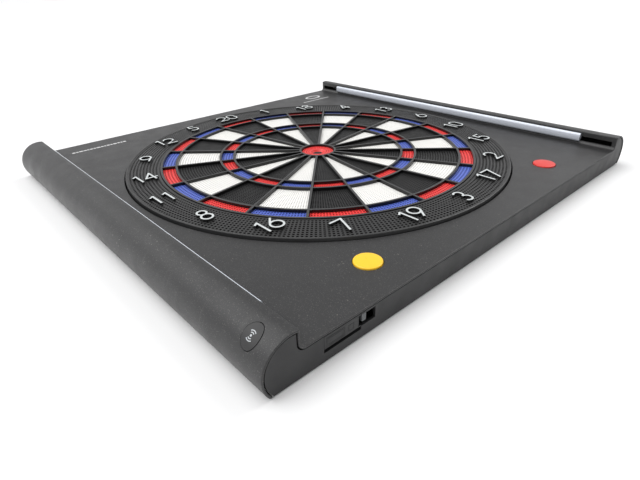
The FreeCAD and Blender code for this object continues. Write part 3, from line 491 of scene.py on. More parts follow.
def lathe(name, outline, material, count=96, centre=(0.0, 0.0), crease=32.0):
    """Turn an outline of (radius, z) from its lowest middle point to its highest."""
    points = []
    faces = []
    rings = []
    for radius, z in outline:
        if radius < 1e-7:
            rings.append([len(points)])
            points.append((centre[0], centre[1], z))
            continue
        rings.append(list(range(len(points), len(points) + count)))
        points += [(centre[0] + x, centre[1] + y, z) for x, y in circle(radius, count)]
    for low, high in zip(rings, rings[1:]):
        for i in range(count):
            j = (i + 1) % count
            face = [low[i % len(low)], low[j % len(low)], high[j % len(high)], high[i % len(high)]]
            face = [point for k, point in enumerate(face) if point != face[k - 1]]
            if len(face) > 2:
                faces.append(face)
    return mesh_piece(name, points, faces, material, crease)


def loose_parts(node):
    """Lowest and highest corners of each separate solid of a CAD node."""
    shell = merged(node)
    left = set(shell.verts)
    boxes = []
    while left:
        front = [left.pop()]
        island = list(front)
        while front:
            vert = front.pop()
            for edge in vert.link_edges:
                other = edge.other_vert(vert)
                if other in left:
                    left.discard(other)
                    front.append(other)
                    island.append(other)
        low = Vector(min(vert.co[k] for vert in island) for k in range(3))
        high = Vector(max(vert.co[k] for vert in island) for k in range(3))
        boxes.append((low, high))
    shell.free()
    return sorted(boxes, key=lambda pair: tuple(pair[0]))


# ------------------------------------------------------------------ geometry node helpers
def node_tree(name, *inputs):
    """An empty geometry tree with named inputs of (name, kind, default)."""
    tree = bpy.data.node_groups.new(name, "GeometryNodeTree")
    tree.interface.new_socket("Geometry", in_out="INPUT", socket_type="NodeSocketGeometry")
    for label, kind, default in inputs:
        socket = tree.interface.new_socket(label, in_out="INPUT", socket_type="NodeSocket" + kind)
        if default is not None:
            socket.default_value = default
    tree.interface.new_socket("Geometry", in_out="OUTPUT", socket_type="NodeSocketGeometry")
    return tree


def add(tree, kind, settings=None, **inputs):
    made = tree.nodes.new(kind)
    for key, value in (settings or {}).items():
        setattr(made, key, value)
    for key, value in inputs.items():
        socket = made.inputs[key.replace("_", " ")]
        if isinstance(value, bpy.types.NodeSocket):
            tree.links.new(value, socket)
        else:
            socket.default_value = value
    return made


def scaled(tree, value, factor, more=0.0):
    made = add(tree, "ShaderNodeMath", {"operation": "MULTIPLY_ADD"}, Value=value)
    made.inputs[1].default_value = factor
    made.inputs[2].default_value = more
    return made.outputs[0]


def vector(tree, **parts):
    return add(tree, "ShaderNodeCombineXYZ", **parts).outputs[0]


def end_tree(tree, geometry, material):
    """Close a tree with Realize Instances and Set Material."""
    real = add(tree, "GeometryNodeRealizeInstances", Geometry=geometry).outputs[0]
    coated = add(tree, "GeometryNodeSetMaterial", Geometry=real, Material=material).outputs[0]
    add(tree, "NodeGroupOutput", Geometry=coated)


def run_tree(piece, tree, **values):
    """Apply a geometry tree to a piece with its named inputs set."""
    change = piece.modifiers.new("tree", "NODES")
    change.node_group = tree
    for item in tree.interface.items_tree:
        key = item.name.replace(" ", "_")
        if item.in_out == "INPUT" and key in values:
            change[item.identifier] = values[key]
    return bake(piece)


def perforation_tree():
    """Sinks a slightly tapered blind hole, with a material of its own, into every face marked as a hole."""
    tree = bpy.data.node_groups.get("perforation")
    if tree:
        return tree
    tree = node_tree(
        "perforation", ("Depth", "Float", 0.002), ("Draft", "Float", 0.92), ("Material", "Material", None),
        ("Hole Material", "Material", None),
    )
    start = tree.nodes.new("NodeGroupInput")
    marked = add(tree, "GeometryNodeInputNamedAttribute", {"data_type": "BOOLEAN"}, Name="hole")
    down = vector(tree, Z=scaled(tree, start.outputs["Depth"], -1.0))
    sunk = add(
        tree, "GeometryNodeExtrudeMesh", {"mode": "FACES"}, Mesh=start.outputs["Geometry"],
        Selection=marked.outputs[0], Offset=down, Offset_Scale=1.0, Individual=True,
    )
    narrowed = add(
        tree, "GeometryNodeScaleElements", Geometry=sunk.outputs["Mesh"], Selection=sunk.outputs["Top"],
        Scale=start.outputs["Draft"],
    )
    inside = add(tree, "FunctionNodeBooleanMath", {"operation": "OR"})
    tree.links.new(sunk.outputs["Top"], inside.inputs[0])
    tree.links.new(sunk.outputs["Side"], inside.inputs[1])
    real = add(tree, "GeometryNodeRealizeInstances", Geometry=narrowed.outputs[0]).outputs[0]
    face = add(tree, "GeometryNodeSetMaterial", Geometry=real, Material=start.outputs["Material"]).outputs[0]
    holes = add(
        tree, "GeometryNodeSetMaterial", Geometry=face, Selection=inside.outputs[0],
        Material=start.outputs["Hole Material"],
    )
    add(tree, "NodeGroupOutput", Geometry=holes.outputs[0])
    return tree


def perforated(name, points, faces, holes, depth, materials, crease):
    """A piece whose listed faces are sunk into holes."""
    piece = mesh_piece(name, points, faces, materials[0], crease)
    mark = piece.data.attributes.new("hole", "BOOLEAN", "FACE")
    for index in holes:
        mark.data[index].value = True
    run_tree(piece, perforation_tree(), Depth=depth, Material=materials[0], Hole_Material=materials[1])
    smooth(piece.data, crease)
    return piece


# ------------------------------------------------------------------ casing
def arc_points(centre, radius, start, end, steps):
    turns = [start + (end - start) * i / steps for i in range(steps + 1)]
    return [(centre[0] + radius * math.cos(turn), centre[1] + radius * math.sin(turn)) for turn in turns]


def cover_box():
    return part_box("front_cover")


def cover_section(inset):
    """The cover's section from foot to foot as (x, z), moved inwards by inset."""
    sizes = casing()
    half = cover_box()[1].x
    radius = sizes.roll_radius - inset
    roll_x = half - sizes.roll_radius
    roll_z = cover_box()[1].z - sizes.roll_radius
    face_x = half - sizes.roll_reach + inset
    top = sizes.panel - inset
    fillet = sizes.fillet + inset
    fillet_x = half - sizes.roll_reach - sizes.fillet
    fillet_z = sizes.panel + sizes.fillet
    lip = max(sizes.lip - inset, 0.0002)
    lip_x = face_x + lip
    lip_z = roll_z + math.sqrt((radius - lip) ** 2 - (roll_x - lip_x) ** 2)
    crest = math.atan2(lip_z - roll_z, lip_x - roll_x)
    foot = -math.asin((roll_z - sizes.skirt) / radius)
    right = [(0.0, top)]
    right += arc_points((fillet_x, fillet_z), fillet, -math.pi / 2, 0.0, 10)
    right += arc_points((lip_x, lip_z), lip, math.pi, crest, 6)
    right += arc_points((roll_x, roll_z), radius, crest, foot, 72)[1:]
    return [(-x, z) for x, z in reversed(right[1:])] + right


def sweep_cover(material):
    """The cover as a swept shell whose two ends are rounded."""
    sizes = casing()
    end = cover_box()[1].y
    round_size = sizes.end_round
    near = [(-end + along, inset) for inset, along in reversed(quarter(round_size, 5))]
    inside = [(-end + along, sizes.skin - inset) for inset, along in quarter(sizes.inner_round, 3)]
    stations = near + [(-y, inset) for y, inset in reversed(near)]
    stations += [(-y, inset) for y, inset in reversed(inside)] + inside
    points = [(x, y, z) for y, inset in stations for x, z in cover_section(inset)]
    faces = []
    count = len(cover_section(0.0))
    total = len(stations)
    for i in range(total):
        j = (i + 1) % total
        for k in range(count - 1):
            faces.append((i * count + k, j * count + k, j * count + k + 1, i * count + k + 1))
    faces.append([i * count for i in reversed(range(total))])
    faces.append([i * count + count - 1 for i in range(total)])
    return mesh_piece("front_cover_shell", points, faces, material, 40.0)


def cut_with(piece, cutters):
    """Subtract the cutters one after another and drop them."""
    for cutter in cutters:
        change = piece.modifiers.new("cut", "BOOLEAN")
        change.operation = "DIFFERENCE"
        change.solver = "EXACT"
        change.object = cutter
    bake(piece)
    for cutter in cutters:
        bpy.data.objects.remove(cutter)
    return piece


def hole_cutter(radius, low, high, material, count=96, centre=(0.0, 0.0)):
    """A drill with a chamfer at the height of the panel."""
    top = casing().panel
    flare = casing().hole_round
    outline = [
        (0, low), (radius, low), (radius, top - flare), (radius + flare, top),
        (radius + flare + (high - top), high), (0, high),
    ]
    return lathe("cutter", outline, material, count, centre)


def box_piece(name, low, high, material):
    corners = [(x, y, z) for z in (low[2], high[2]) for y in (low[1], high[1]) for x in (low[0], high[0])]
    faces = [(0, 2, 3, 1), (4, 5, 7, 6), (0, 1, 5, 4), (2, 6, 7, 3), (0, 4, 6, 2), (1, 3, 7, 5)]
    return mesh_piece(name, corners, faces, material)


def centre_of(low, high):
    return ((low.x + high.x) / 2, (low.y + high.y) / 2)


def roll_place():
    """Carries a shape built at the origin, pointing up, to the oval button's place."""
    radius = casing().roll_radius
    low, high = cover_box()
    across = centre_of(*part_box("wireless_button"))[1]
    place = Matrix.Translation((low.x + radius, across, high.z - radius))
    return place @ Matrix.Rotation(-OVAL_TILT, 4, "Y")


def oval_prism(name, grow, low, high, material):
    """An upright oval prism in the oval button's place."""
    ring = [(x * (OVAL_HALF[0] + grow), y * (OVAL_HALF[1] + grow)) for x, y in circle(1.0, 64)]
    piece = mesh_piece(name, *prisms([ring], low, high), material)
    piece.data.transform(roll_place())
    return piece


class BOARD_OT_front_cover(bpy.types.Operator):
    """Sweep the front cover and cut its holes and slots"""
    bl_idname = "board.front_cover"
    bl_label = "Front cover"

    def execute(self, context):
        sizes = casing()
        black = rolled_casing()
        cover = sweep_cover(black)
        low = sizes.panel - 0.006
        high = sizes.panel + 0.002
        clear = sizes.button_clear
        cutters = [hole_cutter(sizes.target_hole, low, high, black, 256)]
        for node in ("yellow_button", "red_button"):
            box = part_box(node)
            radius = (box[1].x - box[0].x) / 2 - sizes.button_flange + clear
            cutters.append(hole_cutter(radius, low, high, black, 96, centre_of(*box)))
        radius = sizes.roll_radius
        cutters.append(oval_prism("cutter", clear, radius - 0.006, radius + 0.003, black))
        face = cover_box()[1].x - sizes.roll_reach
        reach = cover_box()[1].y - sizes.slot_end
        top = sizes.slot_bottom + sizes.slot_height
        for side in (-1, 1):
            near, far = sorted((side * (face - 0.002), side * (face + sizes.skin + 0.001)))
            cutters.append(
                box_piece("cutter", (near, -reach, sizes.slot_bottom), (far, reach, top), black)
            )
        cut_with(cover, cutters)
        smooth(cover.data, 30.0)
        weigh_normals(cover)
        finish_piece(cover, "main", "casing", "front_cover")
        return {"FINISHED"}


class BOARD_OT_rear_housing(bpy.types.Operator):
    """Finish the rear housing with its walls, keyholes and screw wells"""
    bl_idname = "board.rear_housing"
    bl_label = "Rear housing"

    def execute(self, context):
        black = moulded("housing_black", finishes().casing, 0.52, dust=0.25)
        dress("rear_housing", "rear_housing_shell", "main", "casing", black)
        return {"FINISHED"}


class BOARD_OT_port_cover(bpy.types.Operator):
    """Round the port cover and add its raised outlines"""
    bl_idname = "board.port_cover"
    bl_label = "Port cover"

    def execute(self, context):
        black = moulded("port_cover_black", shade_of(finishes().casing, 1.05), 0.48)
        dress("port_cover", "port_cover_leaf", "port_cover", "casing", black, 0.0002)
        low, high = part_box("port_cover")
        z = (low.z + high.z) / 2 - 0.0008
        left = low.x + 0.0105
        right = low.x + 0.0255
        marks = ((left, z, 0.0072, 0.0026), (left, z, 0.0085, 0.0038), (right, z, 0.0026, 0.0026))
        outline_marks("port_cover_marks", marks, low.y, black)
        return {"FINISHED"}


def outline_marks(name, marks, y, material):
    """Thin raised frames of (x, z, half width, half height) on a wall that faces the front edge."""
    line = 0.00035
    proud = 0.00015
    sunk = 0.0003
    points = []
    faces = []
    for x, z, half_x, half_z in marks:
        base = len(points)
        for place in (y + sunk, y - proud):
            for shrink in (0.0, line):
                points += [
                    (x + side * (half_x - shrink), place, z + end * (half_z - shrink))
                    for side, end in ((-1, -1), (1, -1), (1, 1), (-1, 1))
                ]
        back_out, back_in, front_out, front_in = (base + 4 * k for k in range(4))
        loop = (front_out, front_in, back_in, back_out)
        for first, second in zip(loop, loop[1:] + loop[:1]):
            for i in range(4):
                j = (i + 1) % 4
                faces.append((first + i, first + j, second + j, second + i))
    piece = mesh_piece(name, points, faces, material)
    return finish_piece(piece, "port_cover", "casing")


# ------------------------------------------------------------------ target
def ridge_radii():
    sizes = target()
    return (sizes.hub, sizes.triple_inner, sizes.triple_outer, sizes.double_inner, sizes.double_outer)


def sector_angle(index):
    return math.pi / 2 - SECTOR_STEP * index


class Cell:
    """One segment between two ridges: places are a radius and a share from side to side."""

    def __init__(self, low, high, side, middle):
        self.low = low
        self.high = high
        self.side = side
        self.middle = middle

    def half_angle(self, radius, side):
        return HALF_SECTOR - math.asin(side / radius)

    def point(self, radius, share, z, grow=0.0):
        """A place in the cell, or on its foot, which is larger by grow all round."""
        if radius <= self.low + 1e-9:
            radius -= grow
        elif radius >= self.high - 1e-9:
            radius += grow
        turn = self.middle + share * self.half_angle(radius, self.side - grow)
        return (radius * math.cos(turn), radius * math.sin(turn), z)


def hole_shares(count, margin, share):
    """Alternate edges of holes from side to side, as shares from -1 to 1."""
    span = 2 - 2 * margin
    pitch = span / (count - 1 + share)
    shares = []
    for i in range(count):
        start = -1 + margin + i * pitch
        shares += [start, start + share * pitch]
    return shares


def segment_mesh(cell, columns, top, foot):
    """Points, faces and marked hole faces of one segment."""
    sizes = target()
    narrowest = 0.0019
    room = cell.high - cell.low - 2 * sizes.hole_margin
    rows = max(1, int((room + sizes.hole_row * 0.5) / sizes.hole_row))
    pitch = room / (rows - 1 + sizes.hole_share)
    ends = [-1 + i / 6 for i in range(1, 12)]
    lines = [(cell.low, ends, False)]
    for row in range(rows):
        start = cell.low + sizes.hole_margin + row * pitch
        width = 2 * start * cell.half_angle(start, cell.side)
        count = max(2, min(columns, int(width / narrowest)))
        shares = hole_shares(count, 2 * sizes.hole_margin / width, sizes.hole_share)
        lines += [(start, shares, True), (start + sizes.hole_share * pitch, shares, False)]
    lines.append((cell.high, ends, False))
    points = []
    rings = []
    for radius, shares, _ in lines:
        full = [-1.0, *shares, 1.0]
        rings.append([(len(points) + i, radius, share) for i, share in enumerate(full)])
        points += [cell.point(radius, share, top) for share in full]
    faces = []
    holes = []
    for (_, _, holed), inner, outer in zip(lines, rings, rings[1:]):
        near = [item[0] for item in inner]
        far = [item[0] for item in outer]
        if holed:
            for i in range(len(near) - 1):
                if i % 2:
                    holes.append(len(faces))
                faces.append([near[i], far[i], far[i + 1], near[i + 1]])
        else:
            faces.append(far + near[::-1])
    faces = [facing_up(face, points) for face in faces]
    rim = rings[0] + [ring[-1] for ring in rings[1:]]
    rim += rings[-1][-2::-1] + [ring[0] for ring in rings[-2:0:-1]]
    neck = foot + sizes.flange_height
    levels = [[item[0] for item in rim]]
    for z, grow in ((neck, 0.0), (neck, sizes.flange), (foot, sizes.flange)):
        levels.append(list(range(len(points), len(points) + len(rim))))
        points += [cell.point(radius, share, z, grow) for _, radius, share in rim]
    for upper, lower in zip(levels, levels[1:]):
        for i in range(len(rim)):
            j = (i + 1) % len(rim)
            faces.append([upper[j], upper[i], lower[i], lower[j]])
    faces.append(levels[-1][::-1])
    return points, faces, holes


def facing_up(face, points):
    """The face with its corners in the order that points it up."""
    area = 0.0
    for i, index in enumerate(face):
        ahead = points[face[(i + 1) % len(face)]]
        area += points[index][0] * ahead[1] - ahead[0] * points[index][1]
    return face if area > 0 else face[::-1]


def joined_segments(name, cells, top, foot, materials, body, slot, *replaced):
    """Several segments of one tint in one piece, with their holes sunk."""
    points = []
    faces = []
    holes = []
    for cell, columns in cells:
        more_points, more_faces, more_holes = segment_mesh(cell, columns, top, foot)
        holes += [index + len(faces) for index in more_holes]
        faces += [[index + len(points) for index in face] for face in more_faces]
        points += more_points
    piece = perforated(name, points, faces, holes, target().hole_depth, materials, 30.0)
    return finish_piece(piece, body, slot, *replaced)


class BOARD_OT_sectors(bpy.types.Operator):
    """Make the perforated segments of the twenty numbers"""
    bl_idname = "board.sectors"
    bl_label = "Score segments"

    def execute(self, context):
        sizes = target()
        plastics = {}
        # The last number of each row is how dark that tint's hole insides are painted, as painted shade.
        for name, shine, shade in (
            ("black", 0.2, 0.12), ("white", 0.5, 0.8), ("red", 0.5, 0.45), ("blue", 0.5, 0.45),
        ):
            tint = getattr(finishes(), name)
            face = glossy("segment_" + name, tint, 0.4, shine=shine)
            plastics[name] = (face, painted_hole_shade("hole_" + name, tint, shade))
        radii = ridge_radii()
        side = sizes.ridge / 2 + sizes.gap
        columns = (12, 16, sizes.columns, sizes.columns)
        for index, number in enumerate(NUMBERS):
            node = "sector_%02d" % number
            low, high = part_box(node)
            cells = [
                (Cell(inner + side, outer - side, side, sector_angle(index)), count)
                for inner, outer, count in zip(radii, radii[1:], columns)
            ]
            single, scoring = (("white", "blue"), ("black", "red"))[index % 2 == 0]
            joined_segments(
                node + "_singles", cells[0::2], high.z, low.z, plastics[single],
                node, "segment_" + single, node,
            )
            joined_segments(
                node + "_scoring", cells[1::2], high.z, low.z, plastics[scoring],
                node, "segment_" + scoring,
            )
        return {"FINISHED"}


def web_mesh():
    """Places (x, y) and quads of the flat web of ridges round the cells."""
    sizes = target()
    half = sizes.ridge / 2
    radii = ridge_radii()
    arcs = 8
    points = {}
    order = []

    def place(radius, turn):
        key = (round(radius, 7), round(turn % (2 * math.pi), 7))
        if key not in points:
            points[key] = len(order)
            order.append((radius * math.cos(turn), radius * math.sin(turn)))
        return points[key]

    def quad(*corners):
        faces.append([place(radius, turn) for radius, turn in reversed(corners)])

    faces = []
    for index in range(len(NUMBERS)):
        middle = sector_angle(index)
        crossing = middle + HALF_SECTOR
        for number, radius in enumerate(radii):
            inner = radius - half
            outer = radius + half
            reach = HALF_SECTOR - math.asin(half / radius)
            spread = [middle + reach * (-1 + 2 * i / arcs) for i in range(arcs + 1)]
            for a, b in zip(spread, spread[1:]):
                quad((inner, a), (outer, a), (outer, b), (inner, b))
            behind = middle + reach
            ahead = crossing + HALF_SECTOR - reach
            quad((inner, behind), (outer, behind), (outer, ahead), (inner, ahead))
            if number + 1 < len(radii):
                far = radii[number + 1] - half
                far_reach = HALF_SECTOR - math.asin(half / radii[number + 1])
                far_ahead = crossing + HALF_SECTOR - far_reach
                quad((outer, behind), (far, middle + far_reach), (far, far_ahead), (outer, ahead))
    return order, faces


class BOARD_OT_spider(bpy.types.Operator):
    """Make the web of ridges with rounded tops"""
    bl_idname = "board.spider"
    bl_label = "Spider"

    def execute(self, context):
        sizes = target()
        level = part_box("spider")[1].z
        points, faces = web_mesh()
        shell = bmesh.new()
        verts = [shell.verts.new((x, y, level)) for x, y in points]
        for face in faces:
            shell.faces.new([verts[i] for i in face])
        bmesh.ops.recalc_face_normals(shell, faces=shell.faces)
        if sum(face.normal.z for face in shell.faces) < 0:
            bmesh.ops.reverse_faces(shell, faces=shell.faces)
        made = bmesh.ops.extrude_face_region(shell, geom=list(shell.faces))
        sunk = [item for item in made["geom"] if isinstance(item, bmesh.types.BMVert)]
        bmesh.ops.translate(shell, verts=sunk, vec=(0, 0, -sizes.web_depth))
        bmesh.ops.recalc_face_normals(shell, faces=shell.faces)
        top = level - 1e-6
        edges = [
            edge for edge in shell.edges
            if all(vert.co.z > top for vert in edge.verts) and edge.calc_face_angle(0) > 1.0
        ]
        round_edges(shell, edges, sizes.ridge_round, 4)
        web = shell_piece("spider_web", shell, web_plastic(finishes().web, level), 50.0)
        finish_piece(web, "main", "web", "spider")
        return {"FINISHED"}


def hole_rows(outline, z, start, pitch, width, rows):
    """Add rows of holes to an outline, and say where on it each row starts."""
    borders = set()
    for row in range(rows):
        borders.add(len(outline))
        outline += [(start + row * pitch, z), (start + row * pitch + width, z)]
    return borders


def polar_plate(name, outline, borders, columns, share, depth, materials, start=0.0):
    """A turned outline of (radius, z), with columns of holes in the rings that start at the borders."""
    step = 2 * math.pi / columns
    spokes = [start + (i + side * share / 2) * step for i in range(columns) for side in (-1, 1)]
    count = len(spokes)
    points = [(r * math.cos(turn), r * math.sin(turn), z) for r, z in outline for turn in spokes]
    faces = []
    holes = []
    for ring in range(len(outline)):
        ahead = (ring + 1) % len(outline)
        for i in range(count):
            j = (i + 1) % count
            if ring in borders and i % 2 == 0:
                holes.append(len(faces))
            faces.append([ring * count + i, ahead * count + i, ahead * count + j, ring * count + j])
    return perforated(name, points, faces, holes, depth, materials, 40.0)


class BOARD_OT_number_ring(bpy.types.Operator):
    """Make the perforated number ring with its raised rim"""
    bl_idname = "board.number_ring"
    bl_label = "Number ring"

    def execute(self, context):
        sizes = target()
        low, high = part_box("number_ring")
        outer = high.x
        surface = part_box("numerals")[0].z
        inside = sizes.double_outer + sizes.ridge / 2 + 0.0004
        rim = outer - sizes.ring_rim
        first = inside + 0.003
        last = rim - 0.0012
        share = 0.55
        pitch = (last - first) / (sizes.ring_rows - 1 + share)
        outline = [
            (inside, low.z), (inside, surface - 0.0006), (inside + 0.0002, surface - 0.0002),
            (inside + 0.0006, surface),
        ]
        borders = hole_rows(outline, surface, first, pitch, share * pitch, sizes.ring_rows)
        outline += [
            (rim, surface), (rim + 0.0003, surface + 0.0002), (rim + 0.0006, high.z - 0.0002),
            (rim + 0.001, high.z), (outer - 0.001, high.z), (outer - 0.0003, high.z - 0.0003),
            (outer, high.z - 0.001), (outer, low.z),
        ]
        tint = finishes().ring
        # The ring's hole insides are painted at a tenth of its tint, as painted shade.
        blacks = (moulded("ring_black", tint, 0.4, 1500.0, 0.00003), painted_hole_shade("hole_ring", tint, 0.1))
        ring = polar_plate(
            "number_ring_plate", outline, borders, 360, share, sizes.ring_depth, blacks, math.pi / 360,
        )
        finish_piece(ring, "main", "ring", "number_ring")
        return {"FINISHED"}


class BOARD_OT_bulls(bpy.types.Operator):
    """Make the red outer bull and the dark inner bull with their holes"""
    bl_idname = "board.bulls"
    bl_label = "Bulls"

    def execute(self, context):
        self.outer(target(), finishes().red)
        self.inner(target(), finishes().black)
        return {"FINISHED"}

    def outer(self, sizes, tint):
        low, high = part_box("outer_bull")
        radius = sizes.hub - sizes.ridge / 2 - sizes.gap
        neck = low.z + sizes.flange_height
        shelf = neck + 0.00115
        top = high.z
        mouth = sizes.bull_mouth
        outline = [
            (sizes.bull_counterbore, low.z), (sizes.bull_counterbore, shelf), (sizes.bull_hole, shelf),
            (sizes.bull_hole, top - sizes.bull_taper), (mouth, top - 0.0009),
            (mouth + 0.0004, top - 0.0002), (mouth + 0.0009, top),
        ]
        borders = hole_rows(outline, top, mouth + 0.0022, sizes.hole_row, 0.0013, 3)
        outline += [
            (radius - 0.0008, top), (radius - 0.0002, top - 0.0002), (radius, top - 0.0008),
            (radius, neck), (radius + sizes.flange, neck), (radius + sizes.flange, low.z),
        ]
        # The bull's hole insides are painted at 0.45 of its red, as painted shade.
        reds = (glossy("bull_red", tint, 0.36), painted_hole_shade("hole_bull_red", tint, 0.45))
        bull = polar_plate("outer_bull_ring", outline, borders, 36, 0.5, sizes.hole_depth, reds)
        finish_piece(bull, "outer_bull", "segment_red", "outer_bull")

    def inner(self, sizes, tint):
        low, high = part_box("inner_bull")
        bore = 0.0006
        reach = sizes.inner_bull
        neck = low.z + sizes.flange_height
        outline = [(bore, high.z)]
        borders = hole_rows(outline, high.z, bore + 0.0007, 0.0022, 0.0011, 2)
        outline += [
            (reach - 0.0006, high.z), (reach - 0.0001, high.z - 0.0002), (reach, high.z - 0.0006),
            (reach, neck), (sizes.inner_flange, neck), (sizes.inner_flange, low.z), (bore, low.z),
        ]
        # The inner bull's hole insides are painted at 0.12 of its tint, as painted shade.
        blacks = (moulded("bull_black", tint, 0.4), painted_hole_shade("hole_bull", tint, 0.12))
        core = polar_plate("inner_bull_core", outline, borders, 12, 0.5, sizes.hole_depth, blacks)
        finish_piece(core, "inner_bull", "segment_black", "inner_bull")


class BOARD_OT_numerals(bpy.types.Operator):
    """Round the raised numerals and print their tops white"""
    bl_idname = "board.numerals"
    bl_label = "Numerals"

    def execute(self, context):
        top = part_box("numerals")[1].z
        tint = two_tone("numeral_white", shade_of(finishes().ring, 0.8), (0.60, 0.63, 0.63), top - 0.00008)
        dress("numerals", "raised_numerals", "main", "numeral", tint, 0.00022, 3)
        return {"FINISHED"}


# ------------------------------------------------------------------ buttons and light bars
class BOARD_OT_buttons(bpy.types.Operator):
    """Make the domed buttons and the oval button with its glyph"""
    bl_idname = "board.buttons"
    bl_label = "Buttons"

    def execute(self, context):
        for colour_name in ("yellow", "red"):
            self.round_button(colour_name + "_button", "button_" + colour_name)
        black = moulded("oval_button_black", shade_of(finishes().casing, 0.95), 0.42)
        dress("wireless_button", "wireless_button_cap", "wireless_button", "button_black", black, 0.00015)
        self.glyph()
        return {"FINISHED"}

    def round_button(self, node, slot):
        """A slightly domed cap with a rounded edge, a hidden flange and a stem."""
        sizes = casing()
        low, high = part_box(node)
        flange = (high.x - low.x) / 2
        radius = flange - sizes.button_flange
        neck = sizes.panel - sizes.skin - 0.0003
        foot = neck - sizes.button_foot
        crown = [(0.0, 0.0), (0.25, 0.00002), (0.5, 0.00009), (0.75, 0.0002)]
        outline = [(0, low.z), (sizes.button_stem, low.z), (sizes.button_stem, foot), (flange, foot)]
        outline += [(flange, neck), (radius, neck)]
        outline += [(radius - out, high.z - 0.00035 - down) for out, down in quarter(0.0011, 5)]
        outline += [(radius * share, high.z - drop) for share, drop in reversed(crown)]
        plastic = glossy(node + "_plastic", getattr(finishes(), node), 0.33, 0.1, subsurface=0.1)
        button = lathe(node + "_cap", outline, plastic, 96, centre_of(low, high), 40.0)
        finish_piece(button, node, slot, node)

    def glyph(self):
        """A dot with two arcs each side, printed on the oval button."""
        pale = moulded("glyph_pale", (0.5, 0.53, 0.55), 0.5)
        radius = casing().roll_radius + 0.00042
        half_line = 0.0003
        spread = 0.75
        strokes = [circle(0.0008, 16)]
        for reach in (0.0021, 0.0036):
            for side in (0.0, math.pi):
                outer = arc_points((0, 0), reach + half_line, side - spread, side + spread, 10)
                inner = arc_points((0, 0), reach - half_line, side + spread, side - spread, 10)
                strokes.append(outer + inner)
        points, faces = prisms(strokes, -0.0002, 0.0)
        points = [(x, y, math.sqrt((radius + lift) ** 2 - x ** 2)) for x, y, lift in points]
        mark = mesh_piece("wireless_button_glyph", points, faces, pale)
        mark.data.transform(roll_place())
        finish_piece(mark, "wireless_button", "numeral")


class BOARD_OT_light_bars(bpy.types.Operator):
    """Finish the milky light bars, their boards and their lights"""
    bl_idname = "board.light_bars"
    bl_label = "Light bars"

    def execute(self, context):
        milk = milky("diffuser_milky", finishes().diffuser)
        green = circuit("light_board_mask", (0.01, 0.10, 0.04))
        glow = glossy("light_lens", (0.8, 0.76, 0.5), 0.2)
        tree = light_tree()
        for side in ("left", "right"):
            dress("diffuser_" + side, "light_bar_" + side, "main", "diffuser", milk)
            dress("light_board_" + side, "light_strip_" + side, "main", "circuit_board", green, 0.0001, 1)
            boxes = loose_parts("leds_" + side)
            centres = [tuple((low + high) / 2) for low, high in boxes]
            low, high = boxes[0]
            scattered("lights_" + side, centres, tree, "led", "leds_" + side, glow, Chip=tuple(high - low))
        return {"FINISHED"}


def scattered(name, places, tree, slot, node, material, **values):
    """One piece from a geometry tree's copies at the places."""
    piece = mesh_piece(name, places, [], material)
    run_tree(piece, tree, Material=material, **values)
    smooth(piece.data, 35.0)
    return finish_piece(piece, "main", slot, node)


def joined(tree, *parts):
    both = add(tree, "GeometryNodeJoinGeometry")
    for part in parts:
        tree.links.new(part, both.inputs[0])
    return both.outputs[0]


def moved(tree, geometry, **values):
    return add(tree, "GeometryNodeTransform", Geometry=geometry, **values).outputs[0]


def light_tree():
    """A chip with a lens sunk into it on every point."""
    tree = node_tree(
        "light_chips", ("Chip", "Vector", (0.0016, 0.005, 0.005)), ("Material", "Material", None),
    )
    start = tree.nodes.new("NodeGroupInput")
    body = add(tree, "GeometryNodeMeshCube", Size=start.outputs["Chip"]).outputs[0]
    lens = add(tree, "GeometryNodeMeshCylinder", Vertices=24, Radius=0.0019, Depth=0.00162).outputs[0]
    both = joined(tree, body, moved(tree, lens, Rotation=(0.0, math.pi / 2, 0.0)))
    spread = add(tree, "GeometryNodeInstanceOnPoints", Points=start.outputs["Geometry"], Instance=both)
    end_tree(tree, spread.outputs[0], start.outputs["Material"])
    return tree


# ------------------------------------------------------------------ fasteners
SHANK_START = 0.0012        # from the outer face of a screw's head


def screw_tree():
    """A pan-head screw with a cross recess on every point, pointing up or down."""
    tree = node_tree(
        "screws", ("Head Radius", "Float", 0.003), ("Head Height", "Float", 0.0018),
        ("Shank Radius", "Float", 0.00145), ("Length", "Float", 0.016), ("Turn", "Float", 0.0),
        ("Material", "Material", None),
    )
    start = tree.nodes.new("NodeGroupInput")
    sizes = start.outputs
    head = add(
        tree, "GeometryNodeMeshCylinder", Vertices=32, Radius=sizes["Head Radius"],
        Depth=sizes["Head Height"],
    ).outputs[0]
    recessed = add(tree, "GeometryNodeMeshBoolean", {"operation": "DIFFERENCE", "solver": "EXACT"})
    half_head = vector(tree, Z=scaled(tree, sizes["Head Height"], 0.5))
    tree.links.new(moved(tree, head, Translation=half_head), recessed.inputs[0])
    for arm in ((0.0034, 0.0007, 0.002), (0.0007, 0.0034, 0.002)):
        tree.links.new(add(tree, "GeometryNodeMeshCube", Size=arm).outputs[0], recessed.inputs[1])
    shank = add(
        tree, "GeometryNodeMeshCylinder", Vertices=20, Radius=sizes["Shank Radius"], Depth=sizes["Length"],
    ).outputs[0]
    half_shank = vector(tree, Z=scaled(tree, sizes["Length"], 0.5, SHANK_START))
    both = joined(tree, recessed.outputs[0], moved(tree, shank, Translation=half_shank))
    spread = add(
        tree, "GeometryNodeInstanceOnPoints", Points=sizes["Geometry"], Instance=both,
        Rotation=vector(tree, X=sizes["Turn"]),
    )
    end_tree(tree, spread.outputs[0], sizes["Material"])
    return tree


